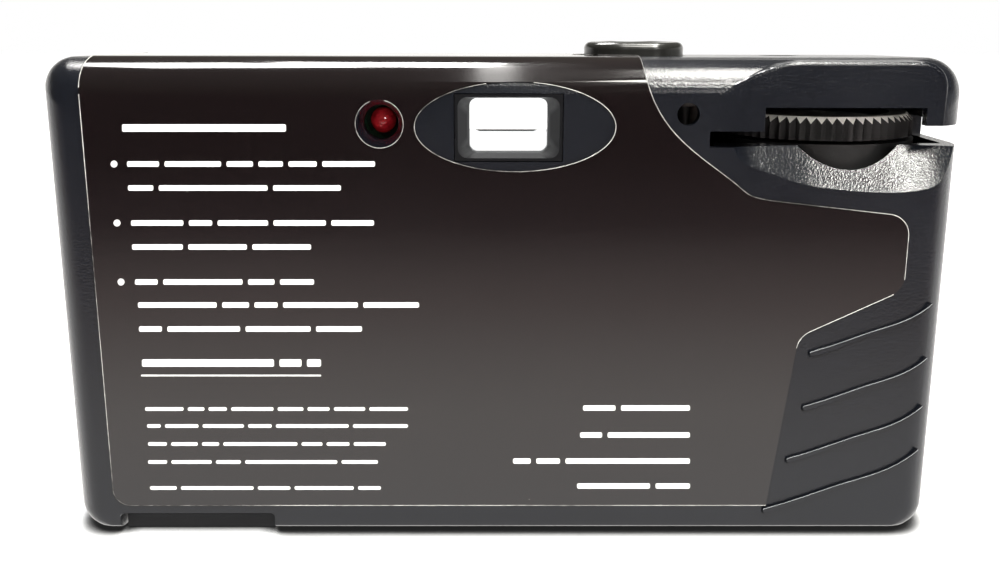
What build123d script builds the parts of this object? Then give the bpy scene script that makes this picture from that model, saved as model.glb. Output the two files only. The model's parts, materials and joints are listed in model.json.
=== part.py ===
from build123d import *
import os
from math import atan2, cos, degrees, hypot, pi, radians, sin

# Disposable film camera in millimetres. X runs along the body, the lens faces -Y,
# the back faces +Y and +Z is up. The origin is under the middle of the body.

os.makedirs("parts", exist_ok=True)

# Driving sizes of the body
film_width = 35.0
cassette_over_film = 7.0
cassette_low = 5.0
cassette_height = film_width + cassette_over_film
film_axis_z = cassette_low + cassette_height / 2
cassette_deck_gap = 3.0
deck_top = cassette_low + cassette_height + cassette_deck_gap
head_height = 12.6
body_height = deck_top + head_height
body_length = 115.6
body_depth = 30.8
rib_height = 0.5
bezel_stand = 4.3
rear_cover_depth = 7.0
wall = 1.6
label_thickness = 0.15
edge_round = 4.2
base_round = 1.3
base_skim = 0.02
front_round = 2.4
side_draft = 0.6
clearance = 0.3
running_gap = 0.05
overrun = 2.0

total_depth = rib_height + body_depth + bezel_stand
rear_y = total_depth / 2 - rib_height
front_y = rear_y - body_depth
parting_y = rear_y - rear_cover_depth
side_x = body_length / 2
front_inner_y = front_y + wall
top_inner_z = body_height - wall - side_draft

# Corner radii of the outline seen from behind: low west, low east, high east, high west
corner_radii = (3.5, 3.4, 3.5, 4.0)
corner_shrink_share = 0.3
edge_steps = 9

# Film and cassette
film_thickness = 0.2
film_plane_y = rear_y - 5.3
frame_length = 36.0
frame_height = 24.0
cassette_radius = 12.5
chamber_inset = 15.0
cassette_x = chamber_inset - side_x
cassette_y = 1.5
cassette_shell_thickness = 0.4
cap_thickness = 0.5
cap_rim = 1.6
cap_overhang = 0.25
spool_radius = 5.5
spool_bore = 4.0
wound_film_radius = 8.0
supply_x = side_x - chamber_inset
supply_core_radius = 3.5
supply_roll_radius = 7.0
supply_y = film_plane_y - supply_roll_radius
supply_chamber_radius = 8.0
supply_spool_high = deck_top - 2 * cassette_deck_gap / 3

# Film-advance wheel and its slot in the rear cover
wheel_radius = 12.6
wheel_teeth = 60
tooth_depth = 0.75
wheel_low = deck_top + 2.3
wheel_high = deck_top + 5.3
wheel_chamfer = 0.85
wheel_pocket_radius = 14.4
slot_low = deck_top + 1.9
slot_high = deck_top + 6.8
slot_west = cassette_x - 9.3
slot_east = cassette_x + 10.6
narrow_slot_high = deck_top + 3.9
narrow_slot_east = slot_east + 6.7
side_slot_high = deck_top + 4.6
scoop_slope_share = 0.588
scoop_pad_depth = 5.0

# Viewfinder
finder_x = -0.65
finder_z = deck_top + 4.3
finder_width = 13.5
finder_height = 8.4
finder_window_width = 9.85
finder_window_height = 6.8
finder_wall = 0.9
oval_x = -1.44
oval_z = deck_top + 4.4
oval_half_width = 12.4
oval_half_height = 5.5

# Ready lamp and the small round hole
lamp_x = 15.26
lamp_z = deck_top + 4.77
lamp_mouth_radius = 2.95
lamp_throat_radius = 2.2
lamp_cone_depth = 2.0
lamp_radius = 1.75
lamp_depth = 4.0
round_hole_x = -22.74
round_hole_z = deck_top + 6.0
round_hole_radius = 1.39

# Lens, shutter and light tunnel
lens_radius = 3.6
lens_thickness = 1.8
bezel_radius = 12.0
bezel_mouth_radius = 7.2
barrel_radius = 5.0
tunnel_wall = 1.2
tunnel_front_y = -9.0
blade_thickness = 0.4
aperture_radius = 1.4
shutter_hole_radius = 2.0
blade_radius = 2.9
blade_pivot_x = -8.0
blade_pivot_z = 33.0

# Mechanism deck
deck_thickness = 1.5
seat_high = slot_low
lever_low = deck_top + 0.6
lever_high = deck_top + 2.0
cover_plate_low = deck_top + 6.6
cover_plate_thickness = 1.2
sprocket_radius = 6.05
sprocket_teeth = 8
sprocket_tooth_height = 1.05
sprocket_x = -23.4
sprocket_y = film_plane_y - sprocket_radius
perforation_inset = 3.4
sprocket_z = film_axis_z + film_width / 2 - perforation_inset
counter_x = cassette_x + 9.3
counter_y = -1.5
counter_teeth = 30

# Shutter button
button_x = -17.75
button_y = 0.3
button_length = 13.4
button_width = 9.6
button_top = deck_top + 14.2
button_stem_radius = 1.8

# Flash
flash_x = side_x - 19.8
flash_z = deck_top - 1.4
flash_width = 26.0
flash_height = 14.6
flash_wall = 0.5
board_y = 7.0
board_thickness = 1.2
board_low = deck_top
board_high = deck_top + 9.8
board_west = 9.6
board_east = side_x - 2.9
capacitor_radius = 4.4
capacitor_length = 27.0
capacitor_x = side_x - 16.8

# Battery
battery_radius = 5.25
battery_length = 44.5
battery_y = front_inner_y + battery_radius + clearance
battery_z = wall + battery_radius + clearance


def rounded_outline(west, east, low, high, radii):
    """Closed outline with its own corner radii: low west, low east, high east, high west."""
    low_west, low_east, high_east, high_west = radii
    with BuildSketch() as outline:
        with BuildLine():
            Line((west + low_west, low), (east - low_east, low))
            CenterArc((east - low_east, low + low_east), low_east, -90, 90)
            Line((east, low + low_east), (east, high - high_east))
            CenterArc((east - high_east, high - high_east), high_east, 0, 90)
            Line((east - high_east, high), (west + high_west, high))
            CenterArc((west + high_west, high - high_west), high_west, 90, 90)
            Line((west, high - high_west), (west, low + low_west))
            CenterArc((west + low_west, low + low_west), low_west, 180, 90)
        make_face()
    return outline.sketch


def body_section(y, inset, base_inset):
    """Outline of the body at one depth, drawn in from the parting line."""
    radii = [radius - corner_shrink_share * inset for radius in corner_radii]
    with BuildSketch(Plane.XZ.offset(-y)) as section:
        add(rounded_outline(inset - side_x, side_x - inset, base_inset, body_height - inset, radii))
    return section.sketch


def rear_shape(inset):
    """Rounded rear tray shape, moved in from the outside by the inset."""
    with BuildPart() as shape:
        for step in range(edge_steps + 1):
            turn = radians(90 * step / edge_steps)
            y = parting_y + (rear_cover_depth - inset) * cos(turn)
            side = inset + (edge_round - inset) * (1 - sin(turn))
            base = inset + base_round * (1 - sin(turn))
            add(body_section(y, side, base))
        loft(ruled=True)
    return shape.part


def front_shape(inset):
    """Drafted front shell shape, moved in from the outside by the inset."""
    with BuildPart() as shape:
        add(body_section(parting_y, inset, inset - base_skim))
        add(body_section(front_y + inset, inset + side_draft, inset - base_skim))
        loft(ruled=True)
        front_edges = shape.faces().sort_by(Axis.Y)[0].edges()
        fillet(front_edges, front_round - min(inset, wall) / 2)
        add(
            block(-side_x, side_x, front_y - overrun, parting_y + overrun, -overrun, inset),
            mode=Mode.SUBTRACT,
        )
    return shape.part


def block(west, east, near, far, low, high):
    """Plain block between its six planes, outside any other builder."""
    with BuildPart(Plane.XY.offset(low)) as piece:
        with Locations(((west + east) / 2, (near + far) / 2)):
            Box(east - west, far - near, high - low, align=(Align.CENTER, Align.CENTER, Align.MIN))
    return piece.part


def upright(x, y, low, high, radius):
    """Plain upright cylinder."""
    with BuildPart(Plane.XY.offset(low)) as piece:
        with Locations((x, y)):
            Cylinder(radius, high - low, align=(Align.CENTER, Align.CENTER, Align.MIN))
    return piece.part


def along_y(x, z, near, far, radius):
    """Plain cylinder whose axis runs along Y."""
    with BuildPart(Plane.XZ.offset(-near)) as piece:
        with Locations((x, z)):
            Cylinder(radius, far - near, align=(Align.CENTER, Align.CENTER, Align.MAX))
    return piece.part


def along_x(y, z, west, east, radius):
    """Plain cylinder whose axis runs along X."""
    with BuildPart(Plane.YZ.offset(west)) as piece:
        with Locations((y, z)):
            Cylinder(radius, east - west, align=(Align.CENTER, Align.CENTER, Align.MIN))
    return piece.part


# Rear cover: rounded tray with the scoop, the slots, the ribs and the openings
pad_top = body_height - 0.25
pad_blend_low = pad_top - 3.35
pad_east = slot_east + 5.2
pad_blend_west = pad_east - 9.5
pad_west = 3.3 - side_x
pad_corner = 3.2
pad_edge = 0.5
scoop_east = slot_east + 3.6
scoop_west = -side_x - 1.5
scoop_low = slot_low - 5.6
scoop_lip = 0.5
# Along the scoop from its east end, and up from its lowest point
scoop_low_shares = (
    (0.0, 0.93), (0.06, 0.6), (0.155, 0.42), (0.28, 0.2), (0.43, 0.07),
    (0.62, 0.0), (0.76, 0.05), (0.86, 0.23), (0.94, 0.55), (1.0, 0.93),
)
rib_starts = ((-39.9, 25.8), (-39.5, 18.4), (-37.8, 11.1), (-35.1, 3.9))
rib_tip_x = -54.8
rib_rise_share = 0.42
rib_width = 1.5
rib_edge = 0.12
rib_ridge_share = 0.4
# Along the rib, and up from its start, for its upper edge; then its width
rib_shares = ((0.0, 0.0, 1.0), (0.26, 0.21, 1.0), (0.5, 0.42, 0.72), (0.75, 0.62, 0.4), (1.0, 1.0, 0.15))
notch_west = side_x - 27.3
notch_east = side_x - 6.6
notch_high = 2.9
notch_round = 0.6
lamp_boss_radius = 3.3
lamp_boss_depth = 4.2
inner_pad_low = deck_top - 5.4
inner_pad_step = deck_top - 1.9
inner_pad_thin = 2.6


def scoop_cutter():
    """Thumb scoop: a ramp that is deepest at the slot and dies out at both ends."""
    with BuildPart() as cutter:
        for along, rise in scoop_low_shares:
            x = scoop_east + along * (scoop_west - scoop_east)
            low = scoop_low + rise * (slot_low - scoop_low)
            depth = scoop_slope_share * (slot_low + scoop_lip - low)
            with BuildSketch(Plane.YZ.offset(x)):
                with BuildLine():
                    Polyline(
                        (rear_y + scoop_lip, low - scoop_lip / scoop_slope_share),
                        (rear_y - depth, slot_low + scoop_lip),
                        (rear_y + scoop_lip, slot_low + scoop_lip),
                        close=True,
                    )
                make_face()
        loft()
    return cutter.part


def rib_outline(start_x, start_z, upper_in, width_share):
    """Outline of a rib at one height: its upper edge, and the edge that closes on it."""
    run = rib_tip_x - start_x
    rise = -run * rib_rise_share
    upper = []
    lower = []
    for along, up, width in rib_shares:
        x = start_x + along * run
        z = start_z + up * rise - upper_in * width
        upper.append((x, z))
        lower.append((x, z - width * width_share * rib_width))
    end_x = start_x + width_share * rib_width / 2
    with BuildSketch() as outline:
        with BuildLine():
            Spline(*upper)
            Line(upper[-1], lower[-1])
            Spline(*reversed(lower))
            ThreePointArc(lower[0], (end_x, (upper[0][1] + lower[0][1]) / 2), upper[0])
        make_face()
    return outline.sketch


def grip_rib(start_x, start_z):
    """One raised rib: steep above, gentle below, tapering beside the edge of the body."""
    with BuildPart() as rib:
        with BuildSketch(Plane.XZ.offset(-rear_y + wall / 2)):
            add(rib_outline(start_x, start_z, 0, 1))
        with BuildSketch(Plane.XZ.offset(-rear_y - rib_height)):
            add(rib_outline(start_x, start_z, rib_edge, rib_ridge_share))
        loft(ruled=True)
    return rib.part


def corner_pad():
    """Flat land over the wheel slot, with a tight edge, that fills the rounded rim."""
    with BuildPart() as pad:
        with BuildSketch(Plane.XZ.offset(-rear_y)):
            with BuildLine():
                Spline(
                    (pad_east, pad_blend_low),
                    ((pad_east + pad_blend_west) / 2, pad_top - edge_round / 4),
                    (pad_blend_west, pad_top),
                    tangents=((-1, 0.5), (-1, 0)),
                )
                Line((pad_blend_west, pad_top), (pad_west + pad_corner, pad_top))
                CenterArc((pad_west + pad_corner, pad_top - pad_corner), pad_corner, 90, 90)
                Polyline(
                    (pad_west, pad_top - pad_corner),
                    (pad_west, side_slot_high),
                    (slot_west, side_slot_high),
                    (slot_west, slot_high),
                    (pad_east, slot_high),
                    (pad_east, pad_blend_low),
                )
            make_face()
        extrude(amount=rear_cover_depth)
        rim = [edge for edge in pad.faces().sort_by(Axis.Y)[-1].edges() if edge.center().Z > pad_blend_low]
        fillet(rim, pad_edge)
    return pad.part


ramp_backing = rear_shape(0) & (
    block(-side_x, scoop_east + wall, rear_y - scoop_pad_depth, rear_y, inner_pad_step, slot_low)
    + block(-side_x, scoop_east + wall, rear_y - inner_pad_thin, rear_y, inner_pad_low, inner_pad_step)
)
with BuildPart() as rear_cover:
    add(rear_shape(0))
    add(corner_pad())
    add(rear_shape(wall), mode=Mode.SUBTRACT)
    add(ramp_backing)
    add(along_y(lamp_x, lamp_z, rear_y - lamp_boss_depth, rear_y - wall / 2, lamp_boss_radius))
    add(scoop_cutter(), mode=Mode.SUBTRACT)
    add(
        upright(cassette_x, cassette_y, inner_pad_step, slot_high, wheel_pocket_radius),
        mode=Mode.SUBTRACT,
    )
    add(block(slot_west, slot_east, parting_y, rear_y + overrun, slot_low, slot_high), mode=Mode.SUBTRACT)
    add(
        block(slot_east, narrow_slot_east, parting_y, rear_y + overrun, slot_low, narrow_slot_high),
        mode=Mode.SUBTRACT,
    )
    add(
        block(-side_x - overrun, slot_west, parting_y, rear_y + overrun, slot_low, side_slot_high),
        mode=Mode.SUBTRACT,
    )
    add(
        block(
            finder_x - finder_width / 2, finder_x + finder_width / 2,
            parting_y, rear_y + overrun,
            finder_z - finder_height / 2, finder_z + finder_height / 2,
        ),
        mode=Mode.SUBTRACT,
    )
    with BuildSketch(Plane.XZ.offset(-rear_y)):
        with Locations((lamp_x, lamp_z)):
            Circle(lamp_mouth_radius)
    with BuildSketch(Plane.XZ.offset(lamp_cone_depth - rear_y)):
        with Locations((lamp_x, lamp_z)):
            Circle(lamp_throat_radius)
    loft(mode=Mode.SUBTRACT)
    add(
        along_y(lamp_x, lamp_z, rear_y - lamp_boss_depth - overrun, rear_y - lamp_cone_depth, lamp_throat_radius),
        mode=Mode.SUBTRACT,
    )
    add(
        along_y(round_hole_x, round_hole_z, parting_y, rear_y + overrun, round_hole_radius),
        mode=Mode.SUBTRACT,
    )
    with BuildSketch(Plane.XZ.offset(-rear_y - overrun)):
        add(rounded_outline(notch_west, notch_east, -overrun, notch_high, [notch_round] * 4))
    extrude(amount=rear_cover_depth + overrun, mode=Mode.SUBTRACT)
    for rib_x, rib_z in rib_starts:
        add(grip_rib(rib_x, rib_z))
rear_cover.part.label = "rear_cover"
export_step(rear_cover.part, "parts/rear_cover.step")

# Front cover: drafted shell with the openings for lens, flash, finder, button and doors
barrel_gap = 0.4
finder_front_width = 11.0
button_hole_gap = 0.3
counter_window_x = counter_x - 5.0
counter_window_y = counter_y - 2.0
counter_window_radius = 2.7
flash_button_x = 30.0
flash_button_z = 23.0
flash_button_radius = 5.0
side_slot_length = 9.3
wheel_relief = 0.5
door_thickness = 1.2
door_low = 0.2
door_pin_radius = 0.45
door_pin_length = 1.2
door_barrel_radius = door_thickness / 2
film_door_west = cassette_x - 12.2
film_door_east = cassette_x + 10.8
film_door_hinge_y = -8.6
film_door_far = 8.6
notch_gap = 0.4
flap_west = notch_west + notch_gap
flap_east = notch_east - notch_gap
flap_lip_thickness = 0.8
flap_lip_drop = 0.9
flap_hinge_y = -5.0
flap_far = rear_y - 1.8


def pill(x, y, low, high, length, width):
    """Upright slab with round ends along X."""
    with BuildPart() as piece:
        with BuildSketch(Plane.XY.offset(low)):
            with Locations((x, y)):
                SlotOverall(length, width)
        extrude(amount=high - low)
    return piece.part


def door_opening(west, east, hinge_y, far):
    """Opening for a bottom door, with the holes for its two hinge pins."""
    opening = block(
        west - clearance, east + clearance,
        hinge_y - door_barrel_radius - clearance, far + clearance,
        -overrun, wall,
    )
    reach = door_pin_length + clearance + running_gap
    pins = along_x(hinge_y, door_low + door_barrel_radius, west - reach, east + reach,
                   door_pin_radius + running_gap)
    return opening + pins


with BuildPart() as front_cover:
    add(front_shape(0))
    add(front_shape(wall), mode=Mode.SUBTRACT)
    add(along_y(0, film_axis_z, front_y - overrun, front_inner_y + overrun, barrel_radius + barrel_gap),
        mode=Mode.SUBTRACT)
    add(
        block(
            finder_x - finder_front_width / 2, finder_x + finder_front_width / 2,
            front_y - overrun, front_inner_y + wall,
            finder_z - finder_height / 2 + finder_wall, finder_z + finder_height / 2 - finder_wall,
        ),
        mode=Mode.SUBTRACT,
    )
    add(
        block(
            flash_x - flash_width / 2, flash_x + flash_width / 2, front_y - overrun, front_inner_y + wall,
            flash_z - flash_height / 2, flash_z + flash_height / 2,
        ),
        mode=Mode.SUBTRACT,
    )
    add(
        along_y(flash_button_x, flash_button_z, front_y - overrun, front_inner_y + wall,
                flash_button_radius + clearance),
        mode=Mode.SUBTRACT,
    )
    add(
        pill(button_x, button_y, top_inner_z - wall, body_height + overrun,
             button_length + 2 * button_hole_gap, button_width + 2 * button_hole_gap),
        mode=Mode.SUBTRACT,
    )
    add(
        upright(counter_window_x, counter_window_y, top_inner_z - wall, body_height + overrun,
                counter_window_radius),
        mode=Mode.SUBTRACT,
    )
    add(
        block(-side_x - overrun, cassette_x, parting_y - side_slot_length, parting_y + overrun,
              slot_low, side_slot_high),
        mode=Mode.SUBTRACT,
    )
    add(
        upright(cassette_x, cassette_y, slot_low, slot_high, wheel_radius + wheel_relief),
        mode=Mode.SUBTRACT,
    )
    add(door_opening(film_door_west, film_door_east, film_door_hinge_y, film_door_far), mode=Mode.SUBTRACT)
    add(
        door_opening(flap_west, flap_east, flap_hinge_y, parting_y + overrun),
        mode=Mode.SUBTRACT,
    )
front_cover.part.label = "front_cover"
export_step(front_cover.part, "parts/front_cover.step")

# Bottom doors: the film door and the flap under the supply spool


def bottom_door(west, east, hinge_y, far):
    """Flat door whose pins turn in the bottom wall of the front cover."""
    axis_z = door_low + door_barrel_radius
    with BuildPart() as door:
        add(block(west, east, hinge_y, far, door_low, door_low + door_thickness))
        add(along_x(hinge_y, axis_z, west, east, door_barrel_radius))
        add(along_x(hinge_y, axis_z, west - clearance - door_pin_length, east + clearance + door_pin_length,
                    door_pin_radius))
    return door.part


with BuildPart() as film_door:
    add(bottom_door(film_door_west, film_door_east, film_door_hinge_y, film_door_far))
film_door.part.label = "film_door"
export_step(film_door.part, "parts/film_door.step")

with BuildPart() as supply_flap:
    add(bottom_door(flap_west, flap_east, flap_hinge_y, flap_far))
    add(block(flap_west, flap_east, flap_far - flap_lip_thickness, flap_far, door_low, notch_high - flap_lip_drop))
supply_flap.part.label = "supply_flap"
export_step(supply_flap.part, "parts/supply_flap.step")

# Wrap label: a thin skin over the back, the top and the front
label_east = side_x - 6.0
label_low = 4.1
label_top_west = -17.2
label_corner = 2.2
label_hollow_corner = 2.8
label_button_gap = 1.6
bezel_gap = 0.6
window_gap = 0.5
# The curved start of the edge, as shares of its run to the west and of its fall
label_curve_shares = ((0.0, 0.0), (0.035, 0.2), (0.12, 0.38), (0.38, 0.66), (0.68, 0.89), (1.0, 1.0))
label_curve_low = deck_top - 4.9
label_curve_west = -35.2
label_bulge_west = -51.1
label_bulge_high = deck_top - 6.7
label_bulge_low = 33.8
label_waist_x = -38.1
label_waist_z = 27.6
label_foot_x = -35.2


def label_outline():
    """Outline of the label seen along Y; it runs on above the body."""
    run = label_curve_west - label_top_west
    fall = body_height - label_curve_low
    curve = [(label_top_west + along * run, body_height - down * fall) for along, down in label_curve_shares]
    with BuildSketch() as outline:
        with BuildLine():
            Line((label_top_west, body_height + overrun), curve[0])
            Spline(*curve, tangents=((0, -1), (-1, -0.1)))
            FilletPolyline(
                curve[-1],
                (label_bulge_west, label_bulge_high),
                (label_bulge_west, label_bulge_low),
                (label_waist_x, label_waist_z),
                (label_foot_x, label_low),
                radius=label_hollow_corner,
            )
            FilletPolyline(
                (label_foot_x, label_low),
                (label_east, label_low),
                (label_east, body_height + overrun),
                radius=label_corner,
            )
            Line((label_east, body_height + overrun), (label_top_west, body_height + overrun))
        make_face()
    return outline.sketch


label_skin = (rear_shape(-label_thickness) + front_shape(-label_thickness)) - (rear_shape(0) + front_shape(0))
with BuildPart() as wrap_label:
    with BuildSketch(Plane.XZ.offset(-rear_y - overrun)):
        add(label_outline())
    extrude(amount=body_depth + 2 * overrun)
    add(label_skin, mode=Mode.INTERSECT)
    with BuildSketch(Plane.XZ.offset(-rear_y - overrun)):
        with Locations((oval_x, oval_z)):
            Ellipse(oval_half_width, oval_half_height)
        with Locations((lamp_x, lamp_z)):
            Circle(lamp_mouth_radius)
    extrude(amount=2 * overrun, mode=Mode.SUBTRACT)
    add(along_y(0, film_axis_z, front_y - overrun, front_y + overrun, bezel_radius + bezel_gap),
        mode=Mode.SUBTRACT)
    add(
        block(
            finder_x - finder_front_width / 2 - window_gap, finder_x + finder_front_width / 2 + window_gap,
            front_y - overrun, front_y + overrun,
            finder_z - finder_height / 2, finder_z + finder_height / 2,
        ),
        mode=Mode.SUBTRACT,
    )
    add(
        block(
            flash_x - flash_width / 2 - window_gap, flash_x + flash_width / 2 + window_gap,
            front_y - overrun, front_y + overrun,
            flash_z - flash_height / 2 - window_gap, flash_z + flash_height / 2 + window_gap,
        ),
        mode=Mode.SUBTRACT,
    )
    add(
        along_y(flash_button_x, flash_button_z, front_y - overrun, front_y + overrun,
                flash_button_radius + clearance + window_gap),
        mode=Mode.SUBTRACT,
    )
    add(
        pill(button_x, button_y, body_height - overrun, body_height + overrun,
             button_length + 2 * label_button_gap, button_width + 2 * label_button_gap),
        mode=Mode.SUBTRACT,
    )
wrap_label.part.label = "wrap_label"
export_step(wrap_label.part, "parts/wrap_label.step")

# Chassis: cassette chamber, light tunnel, film guide, supply chamber, deck and pivots
chamber_radius = cassette_radius + 0.4
chamber_west = cassette_x - 10.1
chamber_east = cassette_x + 14.0
chamber_low = 3.0
chamber_rear = 9.9
seat_radius = 12.8
hub_radius = 4.6
guide_thickness = 1.0
guide_gap = 0.3
guide_west = cassette_x + 11.8
guide_east = supply_x - supply_chamber_radius - 1.0
guide_low = 6.0
guide_high = deck_top - 4.0
guide_rear = film_plane_y - film_thickness / 2 - guide_gap
supply_wall = 1.2
supply_floor_low = 3.0
supply_floor_high = 4.2
supply_end_radius = 2.9
supply_pin_radius = 1.5
board_half_width = 14.0
shutter_board_thickness = 1.2
deck_west = cassette_x + 16.5
deck_rear = rear_y - 2.0
deck_east = supply_x + 10.9
tunnel_front_width = 8.0
cradle_half_length = 24.4
cradle_wall = 1.4
shelf_low = 36.2
shelf_high = 37.7
shaft_radius = 1.5
post_radius = 1.2
kicker_x = -15.0
kicker_y = -4.0
metering_x = -14.3
metering_y = 7.2
pawl_x = cassette_x + 16.0
pawl_y = -8.0
blade_pin_radius = 0.9
holder_low_y = front_y + 3.4
plate_posts = ((-10.6, 12.0), (-25.0, 12.0))
battery_wall_high = 12.9


def tunnel_block(grow):
    """Tapered light tunnel from the film gate to the shutter."""
    with BuildPart() as piece:
        with BuildSketch(Plane.XZ.offset(-guide_rear)):
            with Locations((0, film_axis_z)):
                Rectangle(frame_length + 2 * grow, frame_height + 2 * grow)
        with BuildSketch(Plane.XZ.offset(-tunnel_front_y)):
            with Locations((0, film_axis_z)):
                Rectangle(tunnel_front_width + 2 * grow, tunnel_front_width + 2 * grow)
        loft()
    return piece.part


def ring(x, y, low, high, outer, inner):
    """Upright ring or sleeve."""
    return upright(x, y, low, high, outer) - upright(x, y, low - overrun, high + overrun, inner)


shutter_board_rear = tunnel_front_y + shutter_board_thickness
with BuildPart() as chassis:
    add(tunnel_block(tunnel_wall))
    add(block(guide_west, guide_east, guide_rear - guide_thickness, guide_rear, guide_low, guide_high))
    add(
        block(-board_half_width, board_half_width, tunnel_front_y, shutter_board_rear,
              battery_wall_high, deck_top)
    )
    add(block(deck_west, deck_east, supply_y - supply_chamber_radius - supply_wall, deck_rear,
              deck_top - deck_thickness, deck_top))
    add(block(deck_west, board_half_width, tunnel_front_y, deck_rear, deck_top - deck_thickness, deck_top))
    add(block(guide_west, deck_west, tunnel_front_y, parting_y, deck_top - deck_thickness, deck_top))
    add(
        block(chamber_west, chamber_east, cassette_y - cassette_radius, chamber_rear,
              chamber_low, deck_top - deck_thickness / 2)
    )
    add(
        block(supply_x - supply_chamber_radius - supply_wall, supply_x + supply_chamber_radius + supply_wall,
              supply_y - supply_chamber_radius - supply_wall, chamber_rear,
              supply_floor_low, deck_top - deck_thickness / 2)
    )
    add(upright(cassette_x, cassette_y, deck_top - deck_thickness, seat_high, seat_radius))
    add(block(sprocket_x - 3 * shaft_radius, sprocket_x + 3 * shaft_radius,
              sprocket_y - 3 * shaft_radius, guide_rear - guide_thickness / 2, shelf_low, shelf_high))
    add(block(-cradle_half_length, cradle_half_length, front_inner_y + 2 * clearance,
              battery_y + battery_radius, battery_wall_high, battery_wall_high + cradle_wall))
    for side in (-1, 1):
        outer_x = side * cradle_half_length
        inner_x = side * (cradle_half_length - cradle_wall)
        add(block(min(outer_x, inner_x), max(outer_x, inner_x), front_inner_y + 2 * clearance,
                  battery_y + battery_radius, wall + clearance, battery_wall_high))
    # The chambers, the gate and the tunnel are cut through everything above
    add(
        upright(cassette_x, cassette_y, -overrun, deck_top - deck_thickness, chamber_radius),
        mode=Mode.SUBTRACT,
    )
    add(
        block(chamber_west - overrun, cassette_x + chamber_radius, chamber_rear - clearance,
              rear_y, -overrun, deck_top - deck_thickness),
        mode=Mode.SUBTRACT,
    )
    add(
        upright(supply_x, supply_y, supply_floor_high, deck_top - deck_thickness, supply_chamber_radius),
        mode=Mode.SUBTRACT,
    )
    add(tunnel_block(0), mode=Mode.SUBTRACT)
    add(
        block(-tunnel_front_width / 2, tunnel_front_width / 2, shutter_board_rear,
              guide_rear - guide_thickness, film_axis_z - tunnel_front_width / 2,
              film_axis_z + tunnel_front_width / 2),
        mode=Mode.SUBTRACT,
    )
    # The shutter hole's wall, then the hole
    add(block(-tunnel_front_width, tunnel_front_width, tunnel_front_y, shutter_board_rear,
              film_axis_z - tunnel_front_width, film_axis_z + tunnel_front_width))
    add(
        along_y(0, film_axis_z, tunnel_front_y - overrun, shutter_board_rear + overrun, shutter_hole_radius),
        mode=Mode.SUBTRACT,
    )
    add(
        upright(cassette_x, cassette_y, chamber_low, slot_high, hub_radius + running_gap),
        mode=Mode.SUBTRACT,
    )
    add(
        upright(supply_x, supply_y, -overrun, supply_floor_high + overrun, supply_end_radius + running_gap),
        mode=Mode.SUBTRACT,
    )
    add(
        upright(supply_x, supply_y, supply_spool_high, deck_top + overrun, supply_pin_radius + running_gap),
        mode=Mode.SUBTRACT,
    )
    add(
        upright(sprocket_x, sprocket_y, shelf_low - overrun, deck_top + overrun, shaft_radius + running_gap),
        mode=Mode.SUBTRACT,
    )
    # Room for the sprocket's teeth in the film guide
    sprocket_room = sprocket_radius + sprocket_tooth_height + clearance
    add(
        upright(sprocket_x, sprocket_y, sprocket_z - 2 * shaft_radius, sprocket_z + 2 * shaft_radius,
                sprocket_room),
        mode=Mode.SUBTRACT,
    )
    for post_x, post_y in ((kicker_x, kicker_y), (metering_x, metering_y), (pawl_x, pawl_y)):
        add(upright(post_x, post_y, deck_top, cover_plate_low, post_radius))
    add(along_y(blade_pivot_x, blade_pivot_z, holder_low_y + running_gap, tunnel_front_y, blade_pin_radius))
chassis.part.label = "chassis"
export_step(chassis.part, "parts/chassis.step")

# Mechanism cover: plate over the levers, on two posts, with the counter's axle
counter_pin_radius = 1.0
counter_thickness = 1.0
counter_low = cover_plate_low + cover_plate_thickness + clearance
counter_high = counter_low + counter_thickness
plate_west = counter_x - 3.5
plate_east = -8.0
plate_near = front_y + 3.3
stem_gap = 0.25
with BuildPart() as mechanism_cover:
    add(block(plate_west, plate_east, plate_near, parting_y - clearance, cover_plate_low,
              cover_plate_low + cover_plate_thickness))
    add(block(plate_posts[1][0] - post_radius, plate_east, parting_y - overrun, plate_posts[0][1] + post_radius,
              cover_plate_low, cover_plate_low + cover_plate_thickness))
    for post_x, post_y in plate_posts:
        add(upright(post_x, post_y, deck_top, cover_plate_low, post_radius))
    add(upright(counter_x, counter_y, cover_plate_low, counter_high, counter_pin_radius))
    add(
        upright(button_x, button_y, cover_plate_low - overrun, counter_high, button_stem_radius + stem_gap),
        mode=Mode.SUBTRACT,
    )
    add(
        upright(sprocket_x, sprocket_y, cover_plate_low - overrun, counter_low, shaft_radius + running_gap),
        mode=Mode.SUBTRACT,
    )
mechanism_cover.part.label = "mechanism_cover"
export_step(mechanism_cover.part, "parts/mechanism_cover.step")

# Thumb wheel: toothed rim with a bevelled top, a hub and the shaft that drives the spool
wheel_shaft_radius = spool_bore - running_gap
wheel_shaft_low = deck_top - 6.0
wheel_dish_radius = 9.5
wheel_dish_depth = 1.0


def tooth_outline(radius, depth, count):
    """Outline of a wheel with plain V-shaped teeth."""
    points = []
    for index in range(2 * count):
        reach = radius - depth * (index % 2)
        turn = pi * index / count
        points.append((reach * cos(turn), reach * sin(turn)))
    with BuildSketch() as outline:
        with BuildLine():
            Polyline(*points, close=True)
        make_face()
    return outline.sketch


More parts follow.
